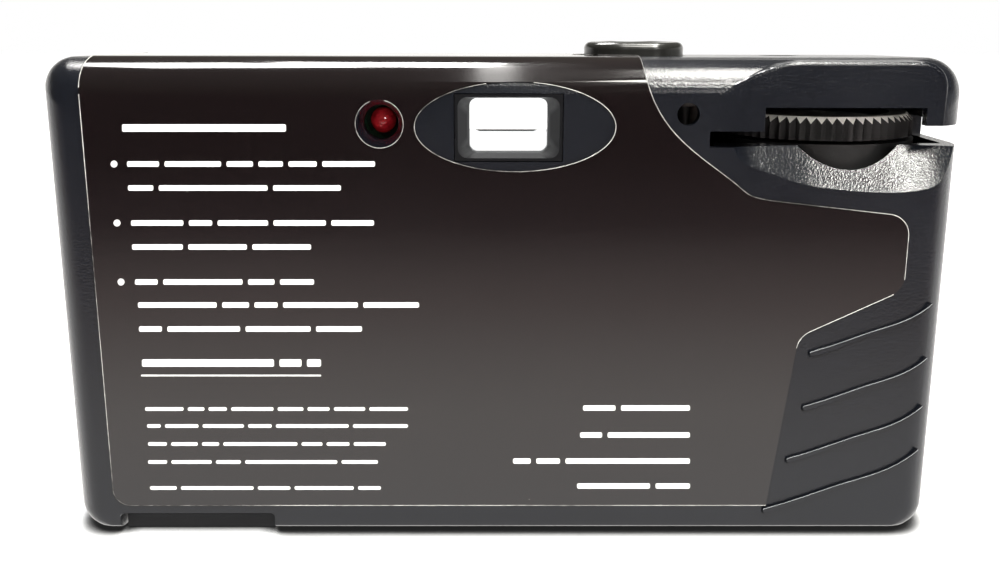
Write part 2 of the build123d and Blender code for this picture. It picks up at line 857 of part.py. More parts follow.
with BuildPart() as thumb_wheel:
    with BuildSketch(Plane.XY.offset(wheel_low)):
        with Locations((cassette_x, cassette_y)):
            add(tooth_outline(wheel_radius, tooth_depth, wheel_teeth))
    extrude(amount=wheel_high - wheel_low)
    with BuildPart(mode=Mode.INTERSECT):
        with BuildSketch(Plane.XY.offset(wheel_low)):
            with Locations((cassette_x, cassette_y)):
                Circle(wheel_radius)
        blank = extrude(amount=wheel_high - wheel_low)
        chamfer(blank.edges().group_by(Axis.Z)[-1], wheel_chamfer)
    add(
        upright(cassette_x, cassette_y, wheel_high - wheel_dish_depth, wheel_high + overrun,
                wheel_dish_radius),
        mode=Mode.SUBTRACT,
    )
    add(upright(cassette_x, cassette_y, deck_top - deck_thickness, wheel_low, hub_radius))
    add(upright(cassette_x, cassette_y, wheel_shaft_low, deck_top - deck_thickness, wheel_shaft_radius))
thumb_wheel.part.label = "thumb_wheel"
export_step(thumb_wheel.part, "parts/thumb_wheel.step")

# Film cassette: shell with its lip, two caps, light-trap felt, spool and wound film
cassette_high = cassette_low + cassette_height
lip_x = cassette_x + 11.3
lip_root_x = cassette_x + 4.5
lip_thickness = 0.4
felt_thickness = 0.2
lip_gap = film_thickness / 2 + 0.05 + felt_thickness
lip_inset = 2.0
cap_hole = 6.0
with BuildPart() as cassette_shell:
    add(upright(cassette_x, cassette_y, cassette_low, cassette_high, cassette_radius))
    add(block(lip_root_x, lip_x, film_plane_y - lip_gap - lip_thickness, film_plane_y + lip_gap + lip_thickness,
              cassette_low + lip_inset, cassette_high - lip_inset))
    add(
        upright(cassette_x, cassette_y, cassette_low - overrun, cassette_high + overrun,
                cassette_radius - cassette_shell_thickness),
        mode=Mode.SUBTRACT,
    )
    add(
        block(lip_root_x - overrun, lip_x + overrun, film_plane_y - lip_gap, film_plane_y + lip_gap,
              cassette_low + lip_inset + lip_thickness, cassette_high - lip_inset - lip_thickness),
        mode=Mode.SUBTRACT,
    )
cassette_shell.part.label = "cassette_shell"
export_step(cassette_shell.part, "parts/cassette_shell.step")


def cassette_cap(end_z, inward):
    """Pressed metal cap over one end of the cassette."""
    rim_z = end_z + inward * cap_rim
    outer_z = end_z - inward * cap_thickness
    low, high = sorted((rim_z, outer_z))
    cup_low, cup_high = sorted((rim_z + inward * overrun, end_z))
    cap = upright(cassette_x, cassette_y, low, high, cassette_radius + cap_overhang)
    cap = cap - upright(cassette_x, cassette_y, cup_low, cup_high, cassette_radius)
    return cap - upright(cassette_x, cassette_y, low - overrun, high + overrun, cap_hole)


with BuildPart() as cassette_top_cap:
    add(cassette_cap(cassette_high, -1))
cassette_top_cap.part.label = "cassette_top_cap"
export_step(cassette_top_cap.part, "parts/cassette_top_cap.step")

with BuildPart() as cassette_bottom_cap:
    add(cassette_cap(cassette_low, 1))
cassette_bottom_cap.part.label = "cassette_bottom_cap"
export_step(cassette_bottom_cap.part, "parts/cassette_bottom_cap.step")

felt_low = cassette_low + lip_inset + lip_thickness
felt_high = cassette_high - lip_inset - lip_thickness
with BuildPart() as light_trap_felt:
    add(block(lip_root_x + felt_thickness, lip_x, film_plane_y - lip_gap,
              film_plane_y - lip_gap + felt_thickness, felt_low, felt_high))
    add(block(lip_root_x + felt_thickness, lip_x, film_plane_y + lip_gap - felt_thickness,
              film_plane_y + lip_gap, felt_low, felt_high))
light_trap_felt.part.label = "light_trap_felt"
export_step(light_trap_felt.part, "parts/light_trap_felt.step")

spool_flange_radius = 10.5
spool_flange_thickness = 0.8
spool_end_radius = cap_hole - 2 * running_gap
spool_low = 2.0
spool_high = deck_top - deck_thickness - clearance
with BuildPart() as cassette_spool:
    add(upright(cassette_x, cassette_y, cassette_low + clearance, cassette_high - clearance, spool_radius))
    add(upright(cassette_x, cassette_y, cassette_high - overrun, spool_high, spool_end_radius))
    add(upright(cassette_x, cassette_y, spool_low, cassette_low + overrun, spool_end_radius))
    for flange_z in (film_axis_z - film_width / 2 - clearance - spool_flange_thickness,
                     film_axis_z + film_width / 2 + clearance):
        add(upright(cassette_x, cassette_y, flange_z, flange_z + spool_flange_thickness,
                    spool_flange_radius))
    add(
        upright(cassette_x, cassette_y, wheel_shaft_low - clearance, spool_high + overrun, spool_bore),
        mode=Mode.SUBTRACT,
    )
    add(
        upright(cassette_x, cassette_y, spool_low - overrun, cassette_low, spool_bore),
        mode=Mode.SUBTRACT,
    )
cassette_spool.part.label = "cassette_spool"
export_step(cassette_spool.part, "parts/cassette_spool.step")

film_low = film_axis_z - film_width / 2
film_high = film_axis_z + film_width / 2
with BuildPart() as cassette_film:
    add(ring(cassette_x, cassette_y, film_low, film_high, wound_film_radius, spool_radius))
cassette_film.part.label = "cassette_film"
export_step(cassette_film.part, "parts/cassette_film.step")

# Film across the gate, with two rows of perforations
perforation_pitch = 4.75
perforation_length = 1.98
perforation_height = 2.8
perforation_count = 15
sprocket_slot_gap = 0.6
film_west = cassette_x + 5.5
tooth_reach = sprocket_radius + sprocket_tooth_height
with BuildPart() as film_strip:
    add(block(film_west, supply_x, film_plane_y - film_thickness / 2, film_plane_y + film_thickness / 2,
              film_low, film_high))
    with BuildSketch(Plane.XZ.offset(-film_plane_y - overrun)):
        for row_z in (film_low + perforation_inset, film_high - perforation_inset):
            for index in range(perforation_count):
                with Locations((supply_x - perforation_pitch * (index + 1 / 2), row_z)):
                    Rectangle(perforation_length, perforation_height)
        with Locations((sprocket_x, sprocket_z)):
            Rectangle(tooth_reach + sprocket_slot_gap, perforation_height + sprocket_slot_gap)
    extrude(amount=2 * overrun, mode=Mode.SUBTRACT)
film_strip.part.label = "film_strip"
export_step(film_strip.part, "parts/film_strip.step")

# Supply spool and the roll of unexposed film on it
roll_radius = supply_roll_radius - clearance
supply_flange_radius = supply_roll_radius - film_thickness
with BuildPart() as supply_spool:
    add(upright(supply_x, supply_y, supply_floor_high + clearance, supply_spool_high, supply_core_radius))
    add(upright(supply_x, supply_y, supply_floor_low - clearance, supply_floor_high + overrun,
                supply_end_radius))
    add(upright(supply_x, supply_y, supply_spool_high, deck_top - clearance, supply_pin_radius))
    for flange_z in (film_low - clearance - spool_flange_thickness, film_high + clearance):
        add(upright(supply_x, supply_y, flange_z, flange_z + spool_flange_thickness, supply_flange_radius))
supply_spool.part.label = "supply_spool"
export_step(supply_spool.part, "parts/supply_spool.step")

with BuildPart() as film_roll:
    add(ring(supply_x, supply_y, film_low, film_high, roll_radius, supply_core_radius))
film_roll.part.label = "film_roll"
export_step(film_roll.part, "parts/film_roll.step")

# Sprocket shaft: toothed drum, cam with its notch and the finger that turns the counter
cam_radius = 4.2
cam_notch = 1.0
drum_half_height = 0.9
finger_radius = 3.2
finger_width = 1.4
counter_reach = hypot(counter_x - sprocket_x, counter_y - sprocket_y)
tooth_width = 1.4
with BuildPart() as sprocket_shaft:
    add(upright(sprocket_x, sprocket_y, shelf_low, counter_high, shaft_radius))
    add(upright(sprocket_x, sprocket_y, sprocket_z - drum_half_height, sprocket_z + drum_half_height,
                sprocket_radius - clearance))
    with BuildSketch(Plane.XY.offset(sprocket_z - drum_half_height)):
        with Locations((sprocket_x, sprocket_y)):
            with PolarLocations(0, sprocket_teeth):
                Trapezoid(tooth_width, tooth_reach, 86, align=(Align.CENTER, Align.MIN))
    extrude(amount=2 * drum_half_height)
    add(upright(sprocket_x, sprocket_y, lever_low, lever_high, cam_radius))
    add(
        block(sprocket_x + cam_radius - cam_notch, sprocket_x + cam_radius + overrun,
              sprocket_y - cam_notch, sprocket_y + cam_notch, lever_low, lever_high),
        mode=Mode.SUBTRACT,
    )
    add(block(sprocket_x, sprocket_x + finger_radius, sprocket_y - finger_width / 2,
              sprocket_y + finger_width / 2, counter_low, counter_high))
sprocket_shaft.part.label = "sprocket_shaft"
export_step(sprocket_shaft.part, "parts/sprocket_shaft.step")

# Exposure counter disc and its window
counter_tip_radius = counter_reach - finger_radius - running_gap * 3
counter_tooth_depth = 0.9
with BuildPart() as counter_disc:
    with BuildSketch(Plane.XY.offset(counter_low)):
        with Locations((counter_x, counter_y)):
            add(tooth_outline(counter_tip_radius, counter_tooth_depth, counter_teeth))
    extrude(amount=counter_thickness)
    add(
        upright(counter_x, counter_y, counter_low - overrun, counter_high + overrun,
                counter_pin_radius + running_gap),
        mode=Mode.SUBTRACT,
    )
counter_disc.part.label = "counter_disc"
export_step(counter_disc.part, "parts/counter_disc.step")

window_fit = 0.1
window_thickness = 1.6
window_top = body_height - 0.5
with BuildPart() as counter_window:
    add(upright(counter_window_x, counter_window_y, window_top - window_thickness, window_top,
                counter_window_radius - window_fit))
counter_window.part.label = "counter_window"
export_step(counter_window.part, "parts/counter_window.step")

# Lens group: holder with its barrel, lens, aperture stop and bezel
holder_plate_thickness = 1.5
holder_west = -13.6
holder_east = 8.5
holder_low = 15.5
holder_high = 44.0
holder_feet = ((-12.2, 17.0), (-12.2, 42.6), (7.1, 42.6), (7.1, 17.0))
foot_radius = 1.0
barrel_front = front_y - 2.0
lens_bore = lens_radius + running_gap
stop_thickness = 0.4
stop_front = front_y + 0.5
throat_radius = 2.6
bezel_lip = 0.7
with BuildPart() as lens_holder:
    add(block(holder_west, holder_east, holder_low_y - holder_plate_thickness, holder_low_y,
              holder_low, holder_high))
    for foot_x, foot_z in holder_feet:
        add(along_y(foot_x, foot_z, holder_low_y, tunnel_front_y, foot_radius))
    add(along_y(0, film_axis_z, barrel_front, holder_low_y, barrel_radius))
    add(along_y(0, film_axis_z, barrel_front - overrun, stop_front + stop_thickness, lens_bore),
        mode=Mode.SUBTRACT)
    add(along_y(0, film_axis_z, stop_front, holder_low_y + overrun, throat_radius), mode=Mode.SUBTRACT)
    add(along_y(blade_pivot_x, blade_pivot_z, holder_low_y - overrun, holder_low_y + overrun,
                blade_pin_radius + running_gap), mode=Mode.SUBTRACT)
lens_holder.part.label = "lens_holder"
export_step(lens_holder.part, "parts/lens_holder.step")

lens_sag = 1.0
lens_ball_radius = (lens_radius ** 2 + lens_sag ** 2) / (2 * lens_sag)
with BuildPart() as lens:
    add(along_y(0, film_axis_z, stop_front - lens_thickness, stop_front, lens_radius))
    with Locations((0, stop_front - lens_thickness + lens_ball_radius, film_axis_z)):
        Sphere(lens_ball_radius, mode=Mode.INTERSECT)
lens.part.label = "lens"
export_step(lens.part, "parts/lens.step")

with BuildPart() as aperture_stop:
    add(along_y(0, film_axis_z, stop_front, stop_front + stop_thickness, lens_radius))
    add(along_y(0, film_axis_z, stop_front - overrun, stop_front + overrun, aperture_radius),
        mode=Mode.SUBTRACT)
aperture_stop.part.label = "aperture_stop"
export_step(aperture_stop.part, "parts/aperture_stop.step")

bezel_front = front_y - bezel_stand
bezel_slope = 1.6
with BuildPart() as lens_bezel:
    with BuildSketch(Plane.XY.offset(film_axis_z)):
        with BuildLine():
            Polyline(
                (barrel_radius + barrel_gap, front_y),
                (bezel_radius, front_y),
                (bezel_radius - bezel_slope, bezel_front + bezel_lip),
                (bezel_radius - bezel_slope - bezel_lip, bezel_front),
                (bezel_mouth_radius, bezel_front),
                (barrel_radius + barrel_gap, barrel_front),
                close=True,
            )
        make_face()
    revolve(axis=Axis((0, 0, film_axis_z), (0, 1, 0)))
lens_bezel.part.label = "lens_bezel"
export_step(lens_bezel.part, "parts/lens_bezel.step")

# Shutter blade with its tail, and its spring
blade_near = tunnel_front_y - 2 * blade_thickness
tail_top = deck_top - 0.4
tail_lean = -3.0
tail_half_width = 0.8
blade_neck = 1.4
blade_hub_radius = 2.2
with BuildPart() as shutter_blade:
    with BuildSketch(Plane.XZ.offset(-blade_near - blade_thickness)):
        with Locations((0, film_axis_z)):
            Circle(blade_radius)
        with Locations((blade_pivot_x, blade_pivot_z)):
            Circle(blade_hub_radius)
        with BuildLine():
            Polyline(
                (blade_pivot_x - blade_neck / 2, blade_pivot_z - blade_neck),
                (-blade_neck, film_axis_z - blade_neck),
                (blade_neck, film_axis_z + blade_neck),
                (blade_pivot_x + blade_neck, blade_pivot_z + blade_neck / 2),
                close=True,
            )
        make_face()
        with BuildLine():
            Polyline(
                (blade_pivot_x - tail_half_width, blade_pivot_z),
                (blade_pivot_x + tail_half_width, blade_pivot_z),
                (blade_pivot_x + tail_lean + tail_half_width, tail_top),
                (blade_pivot_x + tail_lean - tail_half_width, tail_top),
                close=True,
            )
        make_face()
        with Locations((blade_pivot_x, blade_pivot_z)):
            Circle(blade_pin_radius + running_gap, mode=Mode.SUBTRACT)
    extrude(amount=blade_thickness)
shutter_blade.part.label = "shutter_blade"
export_step(shutter_blade.part, "parts/shutter_blade.step")

# The blade's spring sits in the holder, round the end of the pin's axis
spring_wire = 0.25
spring_coil_radius = 2.0
with BuildPart() as shutter_spring:
    add(along_y(blade_pivot_x, blade_pivot_z, holder_low_y + running_gap, blade_near - running_gap,
                spring_coil_radius))
    add(along_y(blade_pivot_x, blade_pivot_z, holder_low_y - overrun, blade_near + overrun,
                blade_pin_radius + running_gap), mode=Mode.SUBTRACT)
shutter_spring.part.label = "shutter_spring"
export_step(shutter_spring.part, "parts/shutter_spring.step")

# Levers on the deck: kicker, metering lever and the wheel's ratchet pawl
lever_hub_radius = 2.3
lever_half_width = 1.1
kicker_low = deck_top + 2.5
kicker_high = deck_top + 3.9
kicker_length = 6.2
kicker_turn = 250.0
kicker_finger_low = deck_top + running_gap * 4
metering_nose_turn = 186.0
metering_arm_length = 7.0
metering_arm_turn = 245.0
pawl_low = deck_top + 3.0
pawl_high = deck_top + 4.6
pawl_nose_gap = 0.35


def lever_arm(x, y, low, high, length, turn):
    """Straight lever arm with a round end, from its pivot in the given direction."""
    end_x = x + length * cos(radians(turn))
    end_y = y + length * sin(radians(turn))
    with BuildPart() as arm:
        with BuildSketch(Plane.XY.offset(low)):
            with BuildLine():
                Line((x, y), (end_x, end_y))
            SlotCenterPoint(
                ((x + end_x) / 2, (y + end_y) / 2), (end_x, end_y), 2 * lever_half_width
            )
        extrude(amount=high - low)
    return arm.part


def pivot_hole(x, y, low, high):
    """Running hole for a lever's pivot."""
    return upright(x, y, low - overrun, high + overrun, post_radius + running_gap)


kicker_tip_x = kicker_x + kicker_length * cos(radians(kicker_turn))
kicker_tip_y = kicker_y + kicker_length * sin(radians(kicker_turn))
with BuildPart() as kicker_lever:
    add(upright(kicker_x, kicker_y, kicker_low, kicker_high, lever_hub_radius))
    add(lever_arm(kicker_x, kicker_y, kicker_low, kicker_high, kicker_length, kicker_turn))
    add(upright(kicker_tip_x, kicker_tip_y, kicker_finger_low, kicker_high, lever_half_width / 2))
    add(pivot_hole(kicker_x, kicker_y, kicker_low, kicker_high), mode=Mode.SUBTRACT)
kicker_lever.part.label = "kicker_lever"
export_step(kicker_lever.part, "parts/kicker_lever.step")

with BuildPart() as kicker_spring:
    add(ring(kicker_x, kicker_y, kicker_high + running_gap, cover_plate_low - running_gap,
             spring_coil_radius, post_radius + running_gap))
kicker_spring.part.label = "kicker_spring"
export_step(kicker_spring.part, "parts/kicker_spring.step")

nose_length = metering_x - sprocket_x - cam_radius - lever_half_width - clearance
with BuildPart() as metering_lever:
    add(upright(metering_x, metering_y, lever_low, lever_high, lever_hub_radius))
    add(lever_arm(metering_x, metering_y, lever_low, lever_high, nose_length, metering_nose_turn))
    add(lever_arm(metering_x, metering_y, lever_low, lever_high, metering_arm_length, metering_arm_turn))
    add(pivot_hole(metering_x, metering_y, lever_low, lever_high), mode=Mode.SUBTRACT)
metering_lever.part.label = "metering_lever"
export_step(metering_lever.part, "parts/metering_lever.step")

metering_spring_high = deck_top + 4.6
with BuildPart() as metering_spring:
    add(ring(metering_x, metering_y, lever_high + running_gap, metering_spring_high,
             spring_coil_radius, post_radius + running_gap))
metering_spring.part.label = "metering_spring"
export_step(metering_spring.part, "parts/metering_spring.step")

pawl_reach = hypot(cassette_x - pawl_x, cassette_y - pawl_y) - wheel_radius
pawl_turn = degrees(atan2(cassette_y - pawl_y, cassette_x - pawl_x))
with BuildPart() as ratchet_pawl:
    add(upright(pawl_x, pawl_y, pawl_low, pawl_high, lever_hub_radius))
    add(lever_arm(pawl_x, pawl_y, pawl_low, pawl_high, pawl_reach - lever_half_width - pawl_nose_gap,
                  pawl_turn))
    add(pivot_hole(pawl_x, pawl_y, pawl_low, pawl_high), mode=Mode.SUBTRACT)
ratchet_pawl.part.label = "ratchet_pawl"
export_step(ratchet_pawl.part, "parts/ratchet_pawl.step")

# Shutter button with its dished top, stem and snap collar, and its return spring
button_cap_low = deck_top + 11.0
button_edge = 0.9
button_dish_radius = 26.0
button_dish_depth = 0.45
stem_low = deck_top + 3.9
collar_radius = 2.5
collar_low = deck_top + 4.9
collar_high = deck_top + 5.7
with BuildPart() as shutter_button:
    add(pill(button_x, button_y, button_cap_low, button_top, button_length, button_width))
    fillet(shutter_button.edges().group_by(Axis.Z)[-1], button_edge)
    with Locations((button_x, button_y, button_top - button_dish_depth + button_dish_radius)):
        Sphere(button_dish_radius, mode=Mode.SUBTRACT)
    add(upright(button_x, button_y, stem_low, button_cap_low + button_edge, button_stem_radius))
    add(upright(button_x, button_y, collar_low, collar_high, collar_radius))
shutter_button.part.label = "shutter_button"
export_step(shutter_button.part, "parts/shutter_button.step")

button_spring_inner = button_stem_radius + stem_gap
with BuildPart() as button_spring:
    add(ring(button_x, button_y, cover_plate_low + cover_plate_thickness, button_cap_low,
             button_spring_inner + 2 * spring_wire, button_spring_inner))
button_spring.part.label = "button_spring"
export_step(button_spring.part, "parts/button_spring.step")

# Viewfinder: flared eyepiece, tunnel and the two lenses
eyepiece_gap = 0.1
eyepiece_depth = 4.6
finder_round = 1.0
finder_flare_round = 1.2
finder_lens_thickness = 1.2
finder_front = front_inner_y + 0.1
tunnel_half_width = finder_window_width / 2 + finder_wall
tunnel_half_height = finder_height / 2 - eyepiece_gap


def finder_face(y, width, height, corner):
    """Rounded rectangle round the viewfinder's axis."""
    with BuildSketch(Plane.XZ.offset(-y)) as face:
        with Locations((finder_x, finder_z)):
            RectangleRounded(width, height, corner)
    return face.sketch


with BuildPart() as viewfinder_tunnel:
    add(
        block(
            finder_x - finder_width / 2 + eyepiece_gap, finder_x + finder_width / 2 - eyepiece_gap,
            rear_y - eyepiece_depth, rear_y - running_gap,
            finder_z - tunnel_half_height, finder_z + tunnel_half_height,
        )
    )
    add(
        block(
            finder_x - tunnel_half_width, finder_x + tunnel_half_width,
            finder_front, rear_y - eyepiece_depth,
            finder_z - tunnel_half_height, finder_z + tunnel_half_height,
        )
    )
    add(finder_face(rear_y, finder_width - finder_wall, finder_height - finder_wall, finder_flare_round))
    add(finder_face(rear_y - eyepiece_depth + wall, finder_window_width, finder_window_height, finder_round))
    loft(mode=Mode.SUBTRACT)
    add(finder_face(rear_y, finder_window_width, finder_window_height, finder_round))
    extrude(amount=body_depth, dir=(0, -1, 0), mode=Mode.SUBTRACT)
viewfinder_tunnel.part.label = "viewfinder_tunnel"
export_step(viewfinder_tunnel.part, "parts/viewfinder_tunnel.step")

lens_fit = 0.04
for lens_name, lens_y in (
    ("viewfinder_front_lens", finder_front + finder_lens_thickness),
    ("viewfinder_rear_lens", rear_y - eyepiece_depth),
):
    with BuildPart() as finder_lens:
        add(finder_face(lens_y, finder_window_width - lens_fit, finder_window_height - lens_fit, finder_round))
        extrude(amount=finder_lens_thickness, dir=(0, -1, 0))
    finder_lens.part.label = lens_name
    export_step(finder_lens.part, f"parts/{lens_name}.step")

# Flash: window, reflector, tube and the circuit board with its parts
window_flange = 1.2
flange_thickness = 0.6
window_proud = 0.1
with BuildPart() as flash_window:
    add(
        block(
            flash_x - flash_width / 2 + window_fit, flash_x + flash_width / 2 - window_fit,
            front_y - window_proud, front_inner_y,
            flash_z - flash_height / 2 + window_fit, flash_z + flash_height / 2 - window_fit,
        )
    )
    add(
        block(
            flash_x - flash_width / 2 - window_flange, flash_x + flash_width / 2 + window_flange,
            front_inner_y, front_inner_y + flange_thickness,
            flash_z - flash_height / 2 - window_flange, flash_z + flash_height / 2 + window_flange,
        )
    )
flash_window.part.label = "flash_window"
export_step(flash_window.part, "parts/flash_window.step")

reflector_front = front_inner_y + flange_thickness
reflector_back = supply_y - supply_chamber_radius - supply_wall - clearance
reflector_depth = reflector_back - reflector_front
reflector_half_width = flash_width / 2 - 1.0
tube_radius = 1.5
tube_y = reflector_back - flash_wall - tube_radius - 0.6
tube_hole_gap = 0.1


def trough_face(half_height, depth):
    """Bowl-shaped section of the reflector: flat mouth in front, curved back."""
    with BuildSketch() as face:
        with BuildLine():
            Line((reflector_front, flash_z - half_height), (reflector_front, flash_z + half_height))
            Spline(
                (reflector_front, flash_z + half_height),
                (reflector_front + depth * 3 / 4, flash_z + half_height * 5 / 8),
                (reflector_front + depth, flash_z),
                (reflector_front + depth * 3 / 4, flash_z - half_height * 5 / 8),
                (reflector_front, flash_z - half_height),
            )
        make_face()
    return face.sketch


with BuildPart() as flash_reflector:
    with BuildSketch(Plane.YZ.offset(flash_x - reflector_half_width)):
        add(trough_face(flash_height / 2, reflector_depth))
    extrude(amount=2 * reflector_half_width)
    with BuildSketch(Plane.YZ.offset(flash_x - reflector_half_width + flash_wall)):
        add(trough_face(flash_height / 2 - flash_wall, reflector_depth - flash_wall))
    extrude(amount=2 * (reflector_half_width - flash_wall), mode=Mode.SUBTRACT)
    add(
        along_x(tube_y, flash_z, flash_x - flash_width, flash_x + flash_width, tube_radius + tube_hole_gap),
        mode=Mode.SUBTRACT,
    )
flash_reflector.part.label = "flash_reflector"
export_step(flash_reflector.part, "parts/flash_reflector.step")

tube_overhang = 1.8
with BuildPart() as flash_tube:
    add(
        along_x(tube_y, flash_z, flash_x - reflector_half_width - tube_overhang,
                flash_x + reflector_half_width + tube_overhang, tube_radius)
    )
flash_tube.part.label = "flash_tube"
export_step(flash_tube.part, "parts/flash_tube.step")

with BuildPart() as circuit_board:
    add(block(board_west, board_east, board_y, board_y + board_thickness, board_low, board_high))
circuit_board.part.label = "circuit_board"
export_step(circuit_board.part, "parts/circuit_board.step")

capacitor_z = deck_top + capacitor_radius + clearance
with BuildPart() as capacitor:
    add(
        along_x(board_y - capacitor_radius, capacitor_z, capacitor_x - capacitor_length / 2,
                capacitor_x + capacitor_length / 2, capacitor_radius)
    )
    fillet(capacitor.edges(), clearance * 2)
capacitor.part.label = "capacitor"
export_step(capacitor.part, "parts/capacitor.step")

transformer_west = 9.8
transformer_width = 8.0
transformer_depth = 7.0
transformer_height = 8.4
bobbin_step = 1.2
with BuildPart() as transformer:
    add(block(transformer_west, transformer_west + transformer_width, board_y - transformer_depth, board_y,
              deck_top, deck_top + transformer_height))
    add(
        block(transformer_west - overrun, transformer_west + bobbin_step, board_y - transformer_depth,
              board_y - transformer_depth + bobbin_step, deck_top + bobbin_step,
              deck_top + transformer_height - bobbin_step),
        mode=Mode.SUBTRACT,
    )
transformer.part.label = "transformer"
export_step(transformer.part, "parts/transformer.step")

coil_x = 21.6
coil_radius = 2.6
coil_length = 6.0
with BuildPart() as trigger_coil:
    add(along_y(coil_x, deck_top + coil_radius + clearance, board_y - coil_length, board_y, coil_radius))
trigger_coil.part.label = "trigger_coil"
export_step(trigger_coil.part, "parts/trigger_coil.step")

transistor_z = deck_top + 8.0
transistor_radius = 2.1
transistor_depth = 3.6
with BuildPart() as transistor:
    add(along_y(coil_x, transistor_z, board_y - transistor_depth, board_y, transistor_radius))
    add(
        block(coil_x - 2 * transistor_radius, coil_x + 2 * transistor_radius, board_y - 2 * transistor_depth,
              board_y + overrun, transistor_z + transistor_radius / 2, transistor_z + 2 * transistor_radius),
        mode=Mode.SUBTRACT,
    )
transistor.part.label = "transistor"
export_step(transistor.part, "parts/transistor.step")

resistor_radius = 1.0
resistor_length = 6.0
resistor_pitch = 8.5
resistor_start_x = 23.0
resistor_z = deck_top + 5.5
board_rear = board_y + board_thickness
with BuildPart() as resistors:
    for index in range(4):
        start = resistor_start_x + index * resistor_pitch
        add(along_x(board_rear + resistor_radius, resistor_z, start, start + resistor_length, resistor_radius))
resistors.part.label = "resistors"
export_step(resistors.part, "parts/resistors.step")

lamp_tip_y = rear_y - lamp_depth
with BuildPart() as ready_lamp:
    add(along_y(lamp_x, lamp_z, board_rear, lamp_tip_y - lamp_radius, lamp_radius))
    with Locations((lamp_x, lamp_tip_y - lamp_radius, lamp_z)):
        Sphere(lamp_radius)
ready_lamp.part.label = "ready_lamp"
export_step(ready_lamp.part, "parts/ready_lamp.step")

# Flash button on the front, its leaf contact and the shutter's sync contact
flash_button_proud = 0.9
flash_button_travel = 0.8
flash_button_flange = 0.9
flash_button_edge = 0.4
flash_button_stem = 2.0
contact_thickness = 0.3
contact_y = supply_y - supply_chamber_radius - supply_wall - 2.0
flash_stem_rear = contact_y - clearance - flash_button_travel
with BuildPart() as flash_button:
    add(along_y(flash_button_x, flash_button_z, front_y - flash_button_proud, front_inner_y + clearance,
                flash_button_radius))
    fillet(flash_button.edges().group_by(Axis.Y)[0], flash_button_edge)
    add(along_y(flash_button_x, flash_button_z, front_inner_y + clearance / 3,
                front_inner_y + flash_button_flange, flash_button_radius + flash_button_flange))
    add(along_y(flash_button_x, flash_button_z, front_inner_y, flash_stem_rear, flash_button_stem))
flash_button.part.label = "flash_button"
export_step(flash_button.part, "parts/flash_button.step")

contact_width = 5.0
contact_post_x = 41.5
with BuildPart() as flash_contact:
    add(
        block(flash_button_x - contact_width / 2, contact_post_x + contact_width / 2,
              contact_y, contact_y + contact_thickness,
              flash_button_z - contact_width / 2, flash_button_z + contact_width / 2)
    )
    add(
        block(contact_post_x - contact_width / 2, contact_post_x + contact_width / 2,
              contact_y + contact_thickness, supply_y - supply_chamber_radius - supply_wall,
              flash_button_z - contact_width / 2, flash_button_z + contact_width / 2)
    )
flash_contact.part.label = "flash_contact"
export_step(flash_contact.part, "parts/flash_contact.step")

sync_west = 9.6
sync_east = 13.0
sync_low = 18.0
sync_high = 24.0
sync_top = 33.0
sync_depth = 1.6
with BuildPart() as sync_contact:
    add(block(sync_west, sync_east, tunnel_front_y - sync_depth, tunnel_front_y, sync_low, sync_high))
    for leaf_y in (tunnel_front_y - sync_depth, tunnel_front_y - sync_depth / 2):
        add(block(sync_west, sync_east, leaf_y, leaf_y + contact_thickness, sync_high, sync_top))
sync_contact.part.label = "sync_contact"
export_step(sync_contact.part, "parts/sync_contact.step")

# Battery and its two contacts, between the walls of the cradle
battery_cap_radius = 1.9
battery_cap_length = 0.8
battery_edge = 0.4
with BuildPart() as battery:
    add(along_x(battery_y, battery_z, -battery_length / 2, battery_length / 2 - battery_cap_length,
                battery_radius))
    fillet(battery.edges(), battery_edge)
    add(along_x(battery_y, battery_z, 0, battery_length / 2, battery_cap_radius))
battery.part.label = "battery"
export_step(battery.part, "parts/battery.step")

contact_wall_x = cradle_half_length - cradle_wall
contact_low = wall + 2 * clearance
contact_high = battery_wall_high - clearance
contact_half_width = 3.6
dome_radius = 2.2
with BuildPart() as positive_contact:
    add(block(contact_wall_x - contact_thickness, contact_wall_x, battery_y - contact_half_width,
              battery_y + contact_half_width, contact_low, contact_high))
    add(along_x(battery_y, battery_z, battery_length / 2, contact_wall_x, dome_radius))
positive_contact.part.label = "positive_contact"
export_step(positive_contact.part, "parts/positive_contact.step")

with BuildPart() as negative_contact:
    add(block(-contact_wall_x, contact_thickness - contact_wall_x, battery_y - contact_half_width,
              battery_y + contact_half_width, contact_low, contact_high))
    add(along_x(battery_y, battery_z, -contact_wall_x, -battery_length / 2, dome_radius))
negative_contact.part.label = "negative_contact"
export_step(negative_contact.part, "parts/negative_contact.step")
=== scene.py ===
import json
from math import cos, radians, sin

import bmesh
import bpy
from mathutils import Matrix, Vector


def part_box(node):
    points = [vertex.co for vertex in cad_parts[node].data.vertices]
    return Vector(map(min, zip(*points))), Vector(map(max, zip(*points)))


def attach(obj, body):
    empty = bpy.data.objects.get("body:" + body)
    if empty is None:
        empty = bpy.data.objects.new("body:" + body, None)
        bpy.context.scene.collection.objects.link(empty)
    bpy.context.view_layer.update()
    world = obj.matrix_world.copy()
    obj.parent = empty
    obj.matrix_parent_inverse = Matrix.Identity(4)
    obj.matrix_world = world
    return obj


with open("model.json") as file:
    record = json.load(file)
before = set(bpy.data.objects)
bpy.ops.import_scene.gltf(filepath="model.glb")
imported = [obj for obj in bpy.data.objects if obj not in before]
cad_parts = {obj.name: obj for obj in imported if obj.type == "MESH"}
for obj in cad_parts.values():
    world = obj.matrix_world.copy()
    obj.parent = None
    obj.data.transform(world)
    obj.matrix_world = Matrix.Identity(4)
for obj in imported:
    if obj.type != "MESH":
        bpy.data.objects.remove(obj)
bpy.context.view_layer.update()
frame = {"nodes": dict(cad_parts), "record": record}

nodes = frame["nodes"]
mm = 0.001

